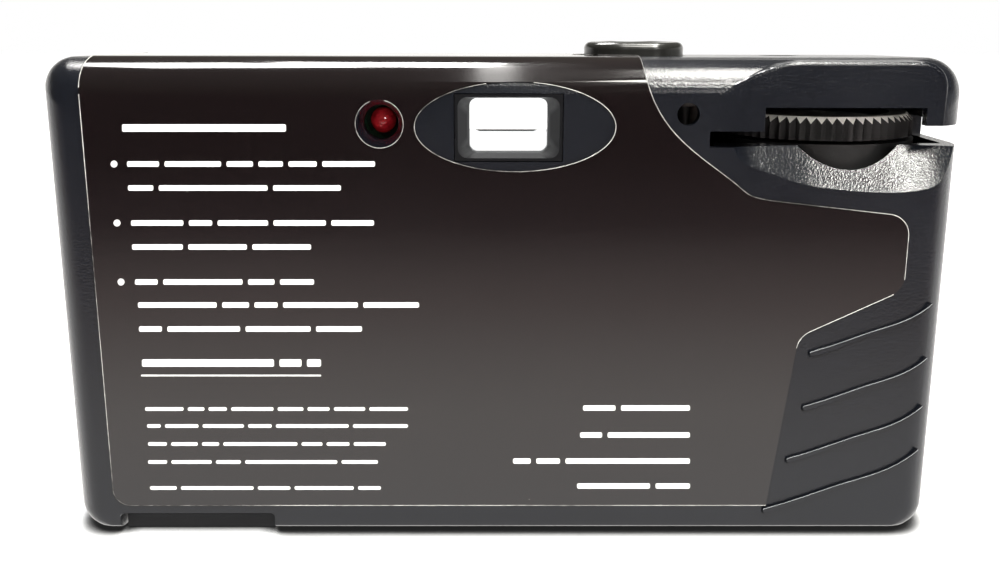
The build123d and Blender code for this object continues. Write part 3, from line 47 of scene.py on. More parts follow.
# Camera: the eye's place and turn, its focal length in picture points, its sensor in mm
eye = Vector((0.97, 157.02, 68.71)) * mm
pitch, roll, yaw = radians(13.925), radians(0.098), radians(0.239)
focal_pixels, picture_width, picture_height = 1130.0, 1000.0, 575.0
sensor = 36.0
nearest_seen, farthest_seen = 0.002, 20.0


def camera_axes():
    """Unit vectors to the right, up and ahead of the view."""
    ahead = Vector((sin(yaw) * cos(pitch), cos(yaw) * cos(pitch), -sin(pitch)))
    side = Vector((cos(yaw), -sin(yaw), 0.0))
    upward = side.cross(ahead)
    right = cos(roll) * side + sin(roll) * upward
    top = cos(roll) * upward - sin(roll) * side
    return [Vector((-v.x, -v.y, v.z)) for v in (right, top, ahead)]


view_right, view_up, view_ahead = camera_axes()


def place_camera():
    data = bpy.data.cameras.new("view")
    data.sensor_fit = "HORIZONTAL"
    data.sensor_width = sensor
    data.lens = focal_pixels / picture_width * sensor
    data.clip_start = nearest_seen
    data.clip_end = farthest_seen
    camera = bpy.data.objects.new("view", data)
    turn = Matrix((view_right, view_up, -view_ahead)).transposed()
    camera.matrix_world = Matrix.Translation(eye) @ turn.to_4x4()
    bpy.context.collection.objects.link(camera)
    bpy.context.scene.camera = camera


def on_plane(across, down, depth):
    """The point of the upright plane y = depth (mm) that a place of the picture shows."""
    ray = (view_ahead * focal_pixels + view_right * (across - picture_width / 2)
           + view_up * (picture_height / 2 - down))
    reach = (depth * mm - eye.y) / ray.y
    return eye + ray * reach


place_camera()

# Material helpers


def tree_of(name):
    """A new material with its node tree and its main shader."""
    material = bpy.data.materials.new(name)
    material.use_nodes = True
    tree = material.node_tree
    shader = tree.nodes["Principled BSDF"]
    return material, tree, shader


def finish_values(shader, colour, rough, **more):
    shader.inputs["Base Color"].default_value = (*colour, 1.0)
    shader.inputs["Roughness"].default_value = rough
    for key, value in more.items():
        shader.inputs[key.replace("_", " ")].default_value = value


def place_node(tree):
    """The object's own coordinates, from one node that a material shares."""
    spot = tree.nodes.get("place")
    if spot is None:
        spot = tree.nodes.new("ShaderNodeTexCoord")
        spot.name = "place"
    return spot.outputs["Object"]


noise_roughness = 0.55


def noise(tree, size, detail=3.0, stretch=(1.0, 1.0, 1.0)):
    """Noise with features of the given size in metres."""
    spread = tree.nodes.new("ShaderNodeMapping")
    spread.inputs["Scale"].default_value = stretch
    tree.links.new(place_node(tree), spread.inputs["Vector"])
    texture = tree.nodes.new("ShaderNodeTexNoise")
    texture.inputs["Scale"].default_value = 1.0 / size
    texture.inputs["Detail"].default_value = detail
    texture.inputs["Roughness"].default_value = noise_roughness
    tree.links.new(spread.outputs["Vector"], texture.inputs["Vector"])
    return texture.outputs["Fac"]


def cells(tree, size, kind="F1"):
    """Distances within irregular cells of the given size in metres."""
    texture = tree.nodes.new("ShaderNodeTexVoronoi")
    texture.feature = kind
    texture.inputs["Scale"].default_value = 1.0 / size
    tree.links.new(place_node(tree), texture.inputs["Vector"])
    return texture.outputs["Distance"]


def stepped(tree, value, stops, smooth=True):
    """A ramp from a value to colours: stops are (place, colour or grey)."""
    ramp = tree.nodes.new("ShaderNodeValToRGB")
    ramp.color_ramp.interpolation = "LINEAR" if smooth else "CONSTANT"
    points = ramp.color_ramp.elements
    while len(points) < len(stops):
        points.new(0.5)
    for point, (where, colour) in zip(points, stops):
        point.position = where
        grey = colour if isinstance(colour, tuple) else (colour, colour, colour)
        point.color = (*grey, 1.0)
    tree.links.new(value, ramp.inputs["Fac"])
    return ramp.outputs["Color"]


def joined(tree, kind, first, second, clamp=False):
    """Arithmetic on two values, each a number or a socket."""
    node = tree.nodes.new("ShaderNodeMath")
    node.operation = kind
    node.use_clamp = clamp
    for socket, value in zip(node.inputs, (first, second)):
        if isinstance(value, (int, float)):
            socket.default_value = value
        else:
            tree.links.new(value, socket)
    return node.outputs["Value"]


def blended(tree, part, first, second):
    """A mix of two colours, by a share from 0 to 1."""
    node = tree.nodes.new("ShaderNodeMix")
    node.data_type = "RGBA"
    tree.links.new(part, node.inputs["Factor"])
    ends = [s for s in node.inputs if s.type == "RGBA"]
    for socket, value in zip(ends, (first, second)):
        if isinstance(value, tuple):
            socket.default_value = (*value, 1.0)
        else:
            tree.links.new(value, socket)
    return [s for s in node.outputs if s.type == "RGBA"][0]


def bumped(tree, shader, height, strength, depth, under=None):
    """Fine relief of the given depth in metres, over another relief if one is given."""
    bump = tree.nodes.new("ShaderNodeBump")
    bump.inputs["Strength"].default_value = strength
    bump.inputs["Distance"].default_value = depth
    tree.links.new(height, bump.inputs["Height"])
    if under is not None:
        tree.links.new(under, bump.inputs["Normal"])
    tree.links.new(bump.outputs["Normal"], shader.inputs["Normal"])
    return bump.outputs["Normal"]


def moulded(name, colour, rough, grain=0.00028, depth=0.00005, strength=0.85, tint=0.16, ior=1.5):
    """Moulded plastic: spark-eroded grain, faint blotches in colour and sheen."""
    cloud_size, cloud_share = 0.011, 0.6
    fine_share = 0.4
    material, tree, shader = tree_of(name)
    finish_values(shader, colour, rough, IOR=ior)
    low = tuple(c * (1 - tint) for c in colour)
    high = tuple(c * (1 + tint) for c in colour)
    cloud = noise(tree, cloud_size, 4.0)
    fine = noise(tree, grain, 2.0)
    mixed = joined(tree, "ADD", joined(tree, "MULTIPLY", cloud, cloud_share),
                   joined(tree, "MULTIPLY", fine, fine_share))
    tree.links.new(stepped(tree, mixed, [(0.3, low), (0.7, high)]), shader.inputs["Base Color"])
    sheen = stepped(tree, mixed, [(0.3, rough - 0.05), (0.7, rough + 0.06)])
    tree.links.new(sheen, shader.inputs["Roughness"])
    bumped(tree, shader, fine, strength, depth)
    return material


def brushed_metal(name, colour, rough, stretch=(1.0, 1.0, 14.0), size=0.0006):
    """Metal with fine lines across the axis of the greatest stretch."""
    line_strength, line_depth = 0.25, 0.00001
    material, tree, shader = tree_of(name)
    finish_values(shader, colour, rough, Metallic=1.0)
    lines = noise(tree, size, 3.0, stretch)
    low = tuple(c * 0.8 for c in colour)
    tree.links.new(stepped(tree, lines, [(0.25, low), (0.7, colour)]), shader.inputs["Base Color"])
    tree.links.new(stepped(tree, lines, [(0.2, rough * 0.7), (0.8, rough * 1.4)]), shader.inputs["Roughness"])
    bumped(tree, shader, lines, line_strength, line_depth)
    return material


def clear(name, colour, rough=0.02, ior=1.49):
    """Clear plastic or glass with a faint haze."""
    haze_size, haze_rough = 0.004, 0.03
    material, tree, shader = tree_of(name)
    finish_values(shader, colour, rough, IOR=ior)
    shader.inputs["Transmission Weight"].default_value = 1.0
    haze = noise(tree, haze_size)
    tree.links.new(stepped(tree, haze, [(0.35, rough), (0.75, rough + haze_rough)]), shader.inputs["Roughness"])
    return material


# The label: glossy film, with dust and faint waviness


def label_material():
    base, dust_colour = (0.0048, 0.0030, 0.0032), (0.34, 0.33, 0.31)
    dust_spacing, dust_reach = 0.0046, 0.016
    patch_size, patch_limit = 0.012, 0.56
    smear_size, smear_rough, dust_rough, least_rough = 0.016, 0.13, 0.6, 0.028
    wave_size, wave_depth = 0.019, 0.00006
    fine_size, fine_depth = 0.0007, 0.000008
    material, tree, shader = tree_of("label_gloss")
    finish_values(shader, base, 0.07, IOR=1.62)
    near = joined(tree, "LESS_THAN", cells(tree, dust_spacing), dust_reach)
    chosen = joined(tree, "GREATER_THAN", noise(tree, patch_size, 1.0), patch_limit)
    dust = joined(tree, "MULTIPLY", near, chosen)
    tree.links.new(blended(tree, dust, base, dust_colour), shader.inputs["Base Color"])
    smear = noise(tree, smear_size, 5.0, (1.0, 1.0, 0.55))
    rough = joined(tree, "ADD", joined(tree, "MULTIPLY", smear, smear_rough),
                   joined(tree, "MULTIPLY", dust, dust_rough))
    tree.links.new(joined(tree, "ADD", rough, least_rough), shader.inputs["Roughness"])
    under = bumped(tree, shader, noise(tree, wave_size, 2.0), 0.35, wave_depth)
    bumped(tree, shader, noise(tree, fine_size, 2.0), 0.10, fine_depth, under)
    return material


def cut_edge_material():
    """Pale cut edge of the label, dirty in places."""
    patch_size, patch_share = 0.024, 0.7
    fine_size, fine_share = 0.0011, 0.3
    material, tree, shader = tree_of("label_cut_edge")
    finish_values(shader, (0.50, 0.49, 0.47), 0.6)
    worn = joined(tree, "ADD", joined(tree, "MULTIPLY", noise(tree, patch_size, 1.0), patch_share),
                  joined(tree, "MULTIPLY", noise(tree, fine_size), fine_share))
    tree.links.new(stepped(tree, worn, [(0.40, (0.035, 0.032, 0.030)), (0.62, (0.60, 0.59, 0.56))]),
                   shader.inputs["Base Color"])
    return material


def crest_material():
    """Painted highlight: pale plastic for thin lines along the sharp crests of the grip ribs."""
    material, _, shader = tree_of("crest_painted_highlight")
    finish_values(shader, (0.42, 0.43, 0.44), 0.45)
    return material


def print_material():
    """White ink, thinner in places."""
    ink_size = 0.0005
    material, tree, shader = tree_of("label_print")
    finish_values(shader, (0.80, 0.80, 0.78), 0.22, IOR=1.5)
    ink = stepped(tree, noise(tree, ink_size), [(0.3, (0.82, 0.82, 0.80)), (0.6, (0.88, 0.88, 0.86))])
    tree.links.new(ink, shader.inputs["Base Color"])
    return material


# Inner parts


def board_material():
    """Green board with paler tracks."""
    track_spacing, track_width, track_height = 0.0032, 0.09, 0.00003
    material, tree, shader = tree_of("board_green")
    finish_values(shader, (0.02, 0.12, 0.05), 0.35)
    line = joined(tree, "LESS_THAN", cells(tree, track_spacing, "DISTANCE_TO_EDGE"), track_width)
    tree.links.new(blended(tree, line, (0.02, 0.13, 0.055), (0.05, 0.24, 0.10)), shader.inputs["Base Color"])
    bumped(tree, shader, line, 0.4, track_height)
    return material


def winding_material():
    """Copper wire wound in turns along X."""
    turn_scale, turn_depth = 900.0, 0.00008
    material, tree, shader = tree_of("copper_winding")
    finish_values(shader, (0.62, 0.26, 0.10), 0.3, Metallic=0.8)
    wave = tree.nodes.new("ShaderNodeTexWave")
    wave.bands_direction = "X"
    wave.inputs["Scale"].default_value = turn_scale
    wave.inputs["Distortion"].default_value = 0.4
    tree.links.new(place_node(tree), wave.inputs["Vector"])
    tree.links.new(stepped(tree, wave.outputs["Fac"], [(0.1, (0.20, 0.07, 0.03)), (0.6, (0.68, 0.30, 0.12))]),
                   shader.inputs["Base Color"])
    bumped(tree, shader, wave.outputs["Fac"], 0.6, turn_depth)
    return material


def striped(name, axis, period, stops, rough):
    """Bands of colour along one axis."""
    grain_size, grain_depth = 0.0004, 0.00001
    material, tree, shader = tree_of(name)
    finish_values(shader, stops[0][1], rough)
    parts = tree.nodes.new("ShaderNodeSeparateXYZ")
    tree.links.new(place_node(tree), parts.inputs["Vector"])
    along = joined(tree, "FRACT", joined(tree, "DIVIDE", parts.outputs[axis], period), 0.0)
    tree.links.new(stepped(tree, along, stops, False), shader.inputs["Base Color"])
    bumped(tree, shader, noise(tree, grain_size, 2.0), 0.2, grain_depth)
    return material


def felt_material():
    """Black felt with hairs along Y."""
    hair_size, hair_depth = 0.00035, 0.00012
    material, tree, shader = tree_of("felt_black")
    finish_values(shader, (0.012, 0.012, 0.013), 0.95)
    shader.inputs["Sheen Weight"].default_value = 0.6
    hair = noise(tree, hair_size, 5.0, (1.0, 3.0, 1.0))
    tree.links.new(stepped(tree, hair, [(0.3, 0.006), (0.8, 0.05)]), shader.inputs["Base Color"])
    bumped(tree, shader, hair, 0.9, hair_depth)
    return material


def film_material():
    """Brown film base, slightly wavy."""
    curl_size, curl_depth = 0.02, 0.0001
    material, tree, shader = tree_of("film_brown")
    finish_values(shader, (0.10, 0.042, 0.022), 0.14, IOR=1.48)
    curl = noise(tree, curl_size, 2.0)
    tree.links.new(stepped(tree, curl, [(0.3, (0.075, 0.03, 0.016)), (0.7, (0.13, 0.055, 0.03))]),
                   shader.inputs["Base Color"])
    bumped(tree, shader, curl, 0.3, curl_depth)
    return material


def lamp_material():
    """Red lamp cap with a clear, glossy skin."""
    depth_size, ripple_depth = 0.0009, 0.00003
    material, tree, shader = tree_of("lamp_red")
    finish_values(shader, (0.30, 0.006, 0.010), 0.05, IOR=1.56)
    shader.inputs["Coat Weight"].default_value = 1.0
    shader.inputs["Coat Roughness"].default_value = 0.03
    deep = noise(tree, depth_size, 2.0)
    tree.links.new(stepped(tree, deep, [(0.3, (0.20, 0.004, 0.008)), (0.75, (0.46, 0.016, 0.022))]),
                   shader.inputs["Base Color"])
    bumped(tree, shader, deep, 0.08, ripple_depth)
    return material


def tunnel_material():
    """Black glossy tunnel with a painted glow: its walls give off white for rays that have passed the lens,
    standing in for the bright view through the finder.
    """
    material, tree, shader = tree_of("tunnel_painted_glow")
    finish_values(shader, (0.006, 0.006, 0.007), 0.35, IOR=1.2)
    # Painted glow: white emission only for rays that have passed the lens
    path = tree.nodes.new("ShaderNodeLightPath")
    tree.links.new(blended(tree, path.outputs["Is Transmission Ray"], (0.0, 0.0, 0.0), (0.97, 0.97, 0.97)),
                   shader.inputs["Emission Color"])
    shader.inputs["Emission Strength"].default_value = 1.0
    return material


def wheel_material():
    """Black wheel with a painted highlight: upward-facing surfaces are mixed towards pale, broken up by noise.
    """
    # worn is the pale colour of a painted highlight on upward-facing surfaces, not wear
    base, worn = (0.020, 0.019, 0.019), (0.86, 0.82, 0.77)
    highlight_patch_size, grain_size, grain_depth = 0.0009, 0.0003, 0.00001
    material, tree, shader = tree_of("wheel_black")
    finish_values(shader, base, 0.22, IOR=1.6)
    facing = place_node(tree).node.outputs["Normal"]
    parts = tree.nodes.new("ShaderNodeSeparateXYZ")
    tree.links.new(facing, parts.inputs["Vector"])
    painted_highlight = joined(tree, "MULTIPLY", stepped(tree, parts.outputs["Z"], [(0.35, 0.0), (0.6, 1.0)]),
                    stepped(tree, noise(tree, highlight_patch_size), [(0.25, 0.75), (0.6, 1.0)]))
    tree.links.new(blended(tree, painted_highlight, base, worn), shader.inputs["Base Color"])
    bumped(tree, shader, noise(tree, grain_size, 2.0), 0.3, grain_depth)
    return material


# Bands along one axis: where each begins, as a share of the period, and its colour
sleeve_dark, sleeve_mark = (0.012, 0.012, 0.016), (0.42, 0.42, 0.42)
sleeve_period = 0.011
sleeve_bands = [(0.0, sleeve_dark), (0.72, sleeve_mark), (0.82, sleeve_dark)]
resistor_tan = (0.45, 0.30, 0.16)
resistor_period = 0.0021
resistor_bands = [(0.0, resistor_tan), (0.30, (0.10, 0.03, 0.01)), (0.45, resistor_tan),
                  (0.6, (0.42, 0.05, 0.02)), (0.75, resistor_tan), (0.88, (0.5, 0.34, 0.05))]
battery_period = 0.0445
battery_bands = [(0.0, (0.42, 0.20, 0.09)), (0.32, (0.012, 0.012, 0.013))]


def make_materials():
    """Every finish, by the name of its material slot or by its own name."""
    return {
        "body_plastic": moulded("body_blue_grey", (0.0050, 0.0060, 0.0090), 0.21, ior=1.47),
        "black_plastic": moulded("inner_black", (0.010, 0.0098, 0.0100), 0.34, 0.0004, 0.00002, 0.35),
        "button_plastic": moulded("button_dark", (0.0165, 0.0165, 0.0150), 0.20, 0.0005, 0.000008, 0.2),
        "label_film": label_material(),
        "counter_plastic": moulded("counter_pale", (0.62, 0.61, 0.58), 0.38, 0.0004, 0.00001, 0.2, 0.04),
        "clear_plastic": clear("clear_plastic", (0.97, 0.98, 0.98)),
        "finder_glass": clear("finder_glass", (0.98, 0.985, 0.985), 0.0, 1.02),
        "tunnel_painted_glow": tunnel_material(),
        "flap_black": moulded("flap_black", (0.0060, 0.0064, 0.0080), 0.62, ior=1.36),
        # Painted light: a brown far paler than the black parts, standing in for light falling inside the wheel
        # slot
        "painted_light_brown": moulded("painted_light_brown", (0.10, 0.078, 0.070), 0.42, 0.0004, 0.00002, 0.3),
        "wheel_black": wheel_material(),
        "tube_glass": clear("tube_glass", (0.94, 0.96, 0.97), 0.01, 1.47),
        "red_lamp": lamp_material(),
        "cassette_metal": brushed_metal("cassette_metal", (0.50, 0.50, 0.49), 0.32),
        "film_base": film_material(),
        "felt": felt_material(),
        "spring_steel": brushed_metal("spring_steel", (0.62, 0.62, 0.60), 0.26, (6.0, 6.0, 1.0), 0.0004),
        "reflector_metal": brushed_metal("reflector_metal", (0.86, 0.86, 0.85), 0.10, (1.0, 1.0, 9.0),
                                         0.0009),
        "board": board_material(),
        "capacitor_sleeve": striped("capacitor_sleeve", "Z", sleeve_period, sleeve_bands, 0.28),
        "winding": winding_material(),
        "component_black": moulded("component_black", (0.012, 0.012, 0.012), 0.45, 0.0002, 0.00002, 0.4),
        "resistor_body": striped("resistor_bands", "X", resistor_period, resistor_bands, 0.3),
        "contact_brass": brushed_metal("contact_brass", (0.72, 0.53, 0.25), 0.28),
        "battery_case": striped("battery_case", "X", battery_period, battery_bands, 0.22),
    }


def slot_of_nodes():
    """Reads which material slot each node has in the record."""
    return {part["node"]: part["material_slot"] for part in frame["record"]["subparts"]}


special_finish = {
    "viewfinder_front_lens": "finder_glass",
    "viewfinder_rear_lens": "finder_glass",
    "viewfinder_tunnel": "tunnel_painted_glow",
    # The mechanism cover behind the wheel takes the brown of painted light
    "mechanism_cover": "painted_light_brown",
    "thumb_wheel": "wheel_black",
    "supply_flap": "flap_black",
}
smooth_angle = radians(32)
cover_smooth_angle = radians(19)
ruled_nodes = ("rear_cover", "front_cover", "wrap_label")
spots_per_metre = 1e6


def soften(mesh, angle):
    """Smooth shading across edges flatter than the angle, by the corner normals alone."""
    spots = {}
    for index, vertex in enumerate(mesh.vertices):
        key = tuple(round(c * spots_per_metre) for c in vertex.co)
        spots.setdefault(key, []).append(index)
    weld = {}
    for group in spots.values():
        for index in group:
            weld[index] = group[0]
    around = {}
    for face in mesh.polygons:
        for index in face.vertices:
            around.setdefault(weld[index], []).append(face.index)
    normals = [face.normal.copy() for face in mesh.polygons]
    areas = [face.area for face in mesh.polygons]
    limit = cos(angle)
    corners = []
    for face in mesh.polygons:
        own = normals[face.index]
        for index in face.vertices:
            total = Vector((0.0, 0.0, 0.0))
            for other in around[weld[index]]:
                if normals[other].dot(own) > limit:
                    total += normals[other] * areas[other]
            corners.append(total.normalized() if total.length > 0 else own)
    for face in mesh.polygons:
        face.use_smooth = True
    mesh.normals_split_custom_set(corners)


def dress_nodes(materials):
    """Gives each node its finish and its smooth shading."""
    chosen = slot_of_nodes()
    for name, thing in nodes.items():
        soften(thing.data, cover_smooth_angle if name in ruled_nodes else smooth_angle)
        finish = materials[special_finish.get(name, chosen[name])]
        if not thing.material_slots:
            thing.data.materials.append(finish)
        for slot in thing.material_slots:
            slot.material = finish


# Pieces


weld_distance = 0.000002
label_middle = Vector((0.0, 0.0019, 0.030))
sharp_angle = radians(50)
sheet_edge_height = 0.0002
crest_tolerance = 0.00002
upward_slope = 0.3


def mesh_piece(name, points, faces, material, body):
    """A mesh that rides on a body."""
    data = bpy.data.meshes.new(name)
    data.from_pydata([tuple(p) for p in points], [], faces)
    data.update()
    thing = bpy.data.objects.new(name, data)
    bpy.context.collection.objects.link(thing)
    data.materials.append(material)
    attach(thing, body)


def welded(name):
    """A working copy of a node's mesh with its corners joined."""
    work = bmesh.new()
    work.from_mesh(nodes[name].data)
    bmesh.ops.remove_doubles(work, verts=work.verts, dist=weld_distance)
    work.normal_update()
    return work


def face_height(face):
    """Height of a triangle over its longest side."""
    longest = max(edge.calc_length() for edge in face.edges)
    return 2 * face.calc_area() / longest if longest else 0.0


def cut_edges(name):
    """Chains of points along the outer rim of a thin sheet."""
    work = welded(name)
    picked = []
    for edge in work.edges:
        if len(edge.link_faces) != 2 or edge.calc_face_angle(0.0) < sharp_angle:
            continue
        wall, flat = sorted(edge.link_faces, key=face_height)
        if face_height(wall) > sheet_edge_height:
            continue
        centre = (edge.verts[0].co + edge.verts[1].co) / 2
        outward = centre - Vector((centre.x, label_middle.y, label_middle.z))
        if flat.normal.dot(outward) > 0:
            picked.append(edge)
    return chained(work, picked)


def crest_edges(name, drop):
    """Upper border of the narrow crest of each grip rib, sunk by the given depth."""
    work = welded(name)
    crest = max(vert.co.y for vert in work.verts) - crest_tolerance
    picked = []
    for edge in work.edges:
        if min(vert.co.y for vert in edge.verts) < crest or len(edge.link_faces) != 2:
            continue
        if max(face.normal.z for face in edge.link_faces) > upward_slope:
            picked.append(edge)
    return [([spot - Vector((0.0, drop, 0.0)) for spot in chain], closed)
            for chain, closed in chained(work, picked)]


def chained(work, picked):
    """The picked edges as chains of points, each with a flag for a closed loop."""
    links = {}
    for edge in picked:
        a, b = edge.verts
        links.setdefault(a.index, []).append(b.index)
        links.setdefault(b.index, []).append(a.index)
    spots = {v.index: v.co.copy() for v in work.verts}
    work.free()
    chains, used = [], set()
    for start in sorted(links, key=lambda spot: (len(links[spot]), spot)):
        if start in used:
            continue
        chain, here = [start], start
        used.add(start)
        while True:
            onward = [n for n in links[here] if n not in used]
            if not onward:
                break
            here = onward[0]
            used.add(here)
            chain.append(here)
        closed = start in links[here] and len(chain) > 2
        chains.append(([spots[i] for i in chain], closed))
    return chains


def edge_lines(name, chains, thickness, material, body):
    """Thin round lines along chains of points."""
    data = bpy.data.curves.new(name, "CURVE")
    data.dimensions = "3D"
    data.bevel_depth = thickness / 2
    data.bevel_resolution = 1
    for chain, closed in chains:
        line = data.splines.new("POLY")
        line.points.add(len(chain) - 1)
        for point, place in zip(line.points, chain):
            point.co = (*place, 1.0)
        line.use_cyclic_u = closed
    data.materials.append(material)
    thing = bpy.data.objects.new(name, data)
    bpy.context.collection.objects.link(thing)
    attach(thing, body)


# Print on the label: plain bars in rows, by their places in the picture

rear_print_depth = 17.475
wide_gap, narrow_gap, tall_bar = 5.5, 4.2, 5
bar_corner, underline_corner = 1.6, 0.3
corner_points = 5
# Each row: left, right, row, height, lengths of its bars
bar_rows = [
    (122, 286, 128, 7.4, (164,)),
    (127, 375, 164, 5.4, (34, 60, 28, 26, 30, 56)),
    (128, 341, 188, 5.4, (26, 112, 70)),
    (131, 374, 223, 5.4, (54, 24, 52, 54, 44)),
    (132, 311, 247, 5.4, (52, 60, 60)),
    (135, 314, 282, 5.4, (24, 84, 28, 36)),
    (138, 419, 305, 5.4, (82, 28, 24, 78, 58)),
    (139, 362, 329, 5.4, (24, 76, 68, 48)),
    (142, 321, 363, 7.4, (132, 22, 14)),
    (145, 408, 409, 3.6, (42, 18, 20, 46, 28, 24, 34, 42)),
    (147, 408, 426, 3.6, (14, 34, 42, 24, 74, 56)),
    (148, 386, 444, 3.6, (20, 28, 18, 78, 22, 24, 34)),
    (148, 378, 462, 3.6, (20, 42, 26, 96, 38)),
    (150, 381, 488, 3.6, (28, 76, 34, 62, 24)),
]
right_rows = [
    (583, 690, 408, 5.4, (32, 68)),
    (580, 690, 435, 5.4, (22, 82)),
    (513, 690, 461, 5.4, (18, 24, 126)),
    (577, 690, 486, 5.4, (72, 34)),
]
bullet_spots = [(114, 164), (117, 223), (121, 282)]
bullet_radius = 3.4
underline = (141, 321, 375.5, 1.6)


def rounded_bar(left, right, row, height, corner):
    """Corner points of one bar in picture places."""
    low, high = row - height / 2, row + height / 2
    corner = min(corner, height / 2, (right - left) / 2)
    points = []
    for cx, cy, start in ((right - corner, high - corner, 0), (left + corner, high - corner, 90),
                          (left + corner, low + corner, 180), (right - corner, low + corner, 270)):
        for step in range(corner_points):
            angle = radians(start + step * 90 / (corner_points - 1))
            points.append((cx + corner * cos(angle), cy + corner * sin(angle)))
    return points


def label_print(material):
    """The rows of bars, the bullets and the underline, as one flat mesh."""
    points, faces = [], []

    def add(outline):
        first = len(points)
        points.extend(on_plane(across, down, rear_print_depth) for across, down in outline)
        faces.append(list(range(first, len(points))))

    for left, right, row, height, lengths in bar_rows + right_rows:
        gap = wide_gap if height > tall_bar else narrow_gap
        stretch = (right - left - gap * (len(lengths) - 1)) / sum(lengths)
        at = left
        for length in lengths:
            add(rounded_bar(at, at + length * stretch, row, height, bar_corner))
            at += length * stretch + gap
    for across, down in bullet_spots:
        add(rounded_bar(across - bullet_radius, across + bullet_radius, down, 2 * bullet_radius,
                        bullet_radius))
    add(rounded_bar(*underline, underline_corner))
    mesh_piece("label_print", points, faces, material, "camera")


# Numbers on the counter disc

counter_axis = (-33.5, -1.5)
counted_frames, frames_a_number = 28, 3
number_circle, number_size = 6.9, 1.75
tick_inner, tick_outer, tick_half_width = 6.4, 7.4, 0.09
mark_lift = 0.00003


def number_mesh(number, place, turn):
    """A flat number, upright when seen from the disc's rim."""
    data = bpy.data.curves.new("number", "FONT")
    data.body = str(number)
    data.size = number_size * mm
    data.align_x = "CENTER"
    data.align_y = "CENTER"
    spot = bpy.data.objects.new("number", data)
    bpy.context.collection.objects.link(spot)
    spot.matrix_world = Matrix.Translation(place) @ Matrix.Rotation(turn, 4, "Z")
    bpy.context.view_layer.update()
    flat = bpy.data.meshes.new_from_object(spot.evaluated_get(bpy.context.evaluated_depsgraph_get()))
    flat.transform(spot.matrix_world)
    bpy.data.objects.remove(spot)
    return flat


def tick_mesh(centre, out, across):
    """A short line that points outward."""
    inner, outer, half = tick_inner * mm, tick_outer * mm, tick_half_width * mm
    corners = ((inner, -half), (outer, -half), (outer, half), (inner, half))
    flat = bpy.data.meshes.new("tick")
    flat.from_pydata([centre + out * r + across * s for r, s in corners], [], [(0, 1, 2, 3)])
    return flat


def counter_marks(material):
    """Numbers and ticks round the counter disc, as one flat mesh."""
    centre = Vector((*counter_axis, 0.0)) * mm
    centre.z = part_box("counter_disc")[1][2] + mark_lift
    made = []
    for index in range(counted_frames):
        angle = radians(90 - 360 * index / counted_frames)
        out = Vector((cos(angle), sin(angle), 0.0))
        if index % frames_a_number == 0:
            made.append(number_mesh(index, centre + out * number_circle * mm, angle - radians(90)))
        else:
            made.append(tick_mesh(centre, out, Vector((-out.y, out.x, 0.0))))
    whole = bmesh.new()
    for flat in made:
        whole.from_mesh(flat)
        bpy.data.meshes.remove(flat)
    data = bpy.data.meshes.new("counter_marks")
    whole.to_mesh(data)
    whole.free()
    data.materials.clear()
    data.materials.append(material)
    thing = bpy.data.objects.new("counter_marks", data)
    bpy.context.collection.objects.link(thing)
    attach(thing, "counter")


# Surroundings


def seen_directly(tree, path):
    """1 for rays from the eye and rays that pass glass, else 0."""
    return joined(tree, "MAXIMUM", path.outputs["Is Camera Ray"], path.outputs["Is Transmission Ray"])


def mixed_shader(tree, part, first, second):
    """A mix of two shaders, by a share from 0 to 1."""
    node = tree.nodes.new("ShaderNodeMixShader")
    for socket, value in zip(node.inputs, (part, first.outputs[0], second.outputs[0])):
        tree.links.new(value, socket)
    return node


def world_light():
    """A soft room, a pale backdrop in reflections, and white where it is seen directly."""
    world = bpy.data.worlds.new("studio")
    bpy.context.scene.world = world
    world.use_nodes = True
    tree = world.node_tree
    tree.nodes.clear()
    place = tree.nodes.new("ShaderNodeTexCoord")
    parts = tree.nodes.new("ShaderNodeSeparateXYZ")
    tree.links.new(place.outputs["Generated"], parts.inputs["Vector"])
    path = tree.nodes.new("ShaderNodeLightPath")
    behind = stepped(tree, joined(tree, "MULTIPLY", parts.outputs["Y"], -1.0), [(0.15, 0.0), (0.50, 1.0)])
    west = stepped(tree, joined(tree, "MULTIPLY", parts.outputs["X"], -1.0), [(0.72, 0.0), (0.98, 0.55)])
    behind = joined(tree, "MAXIMUM", behind, west)
    low = stepped(tree, parts.outputs["Z"], [(0.16, 1.0), (0.30, 0.0)])
    backdrop = joined(tree, "MULTIPLY", behind, low)
    room = stepped(tree, parts.outputs["Z"], [(0.0, (0.055, 0.047, 0.044)), (0.35, (0.085, 0.078, 0.066)),
                                              (1.0, (0.12, 0.118, 0.110))])
    mirror = blended(tree, backdrop, room, (1.0, 0.985, 0.95))
    soft = tree.nodes.new("ShaderNodeBackground")
    soft.inputs["Color"].default_value = (0.80, 0.79, 0.78, 1.0)
    soft.inputs["Strength"].default_value = 0.60
    glossy = tree.nodes.new("ShaderNodeBackground")
    glossy.inputs["Strength"].default_value = 1.3
    tree.links.new(mirror, glossy.inputs["Color"])
    white = tree.nodes.new("ShaderNodeBackground")
    white.inputs["Color"].default_value = (1.0, 1.0, 1.0, 1.0)
    lit = mixed_shader(tree, path.outputs["Is Glossy Ray"], soft, glossy)
    whole = mixed_shader(tree, seen_directly(tree, path), lit, white)
    out = tree.nodes.new("ShaderNodeOutputWorld")
    tree.links.new(whole.outputs[0], out.inputs["Surface"])


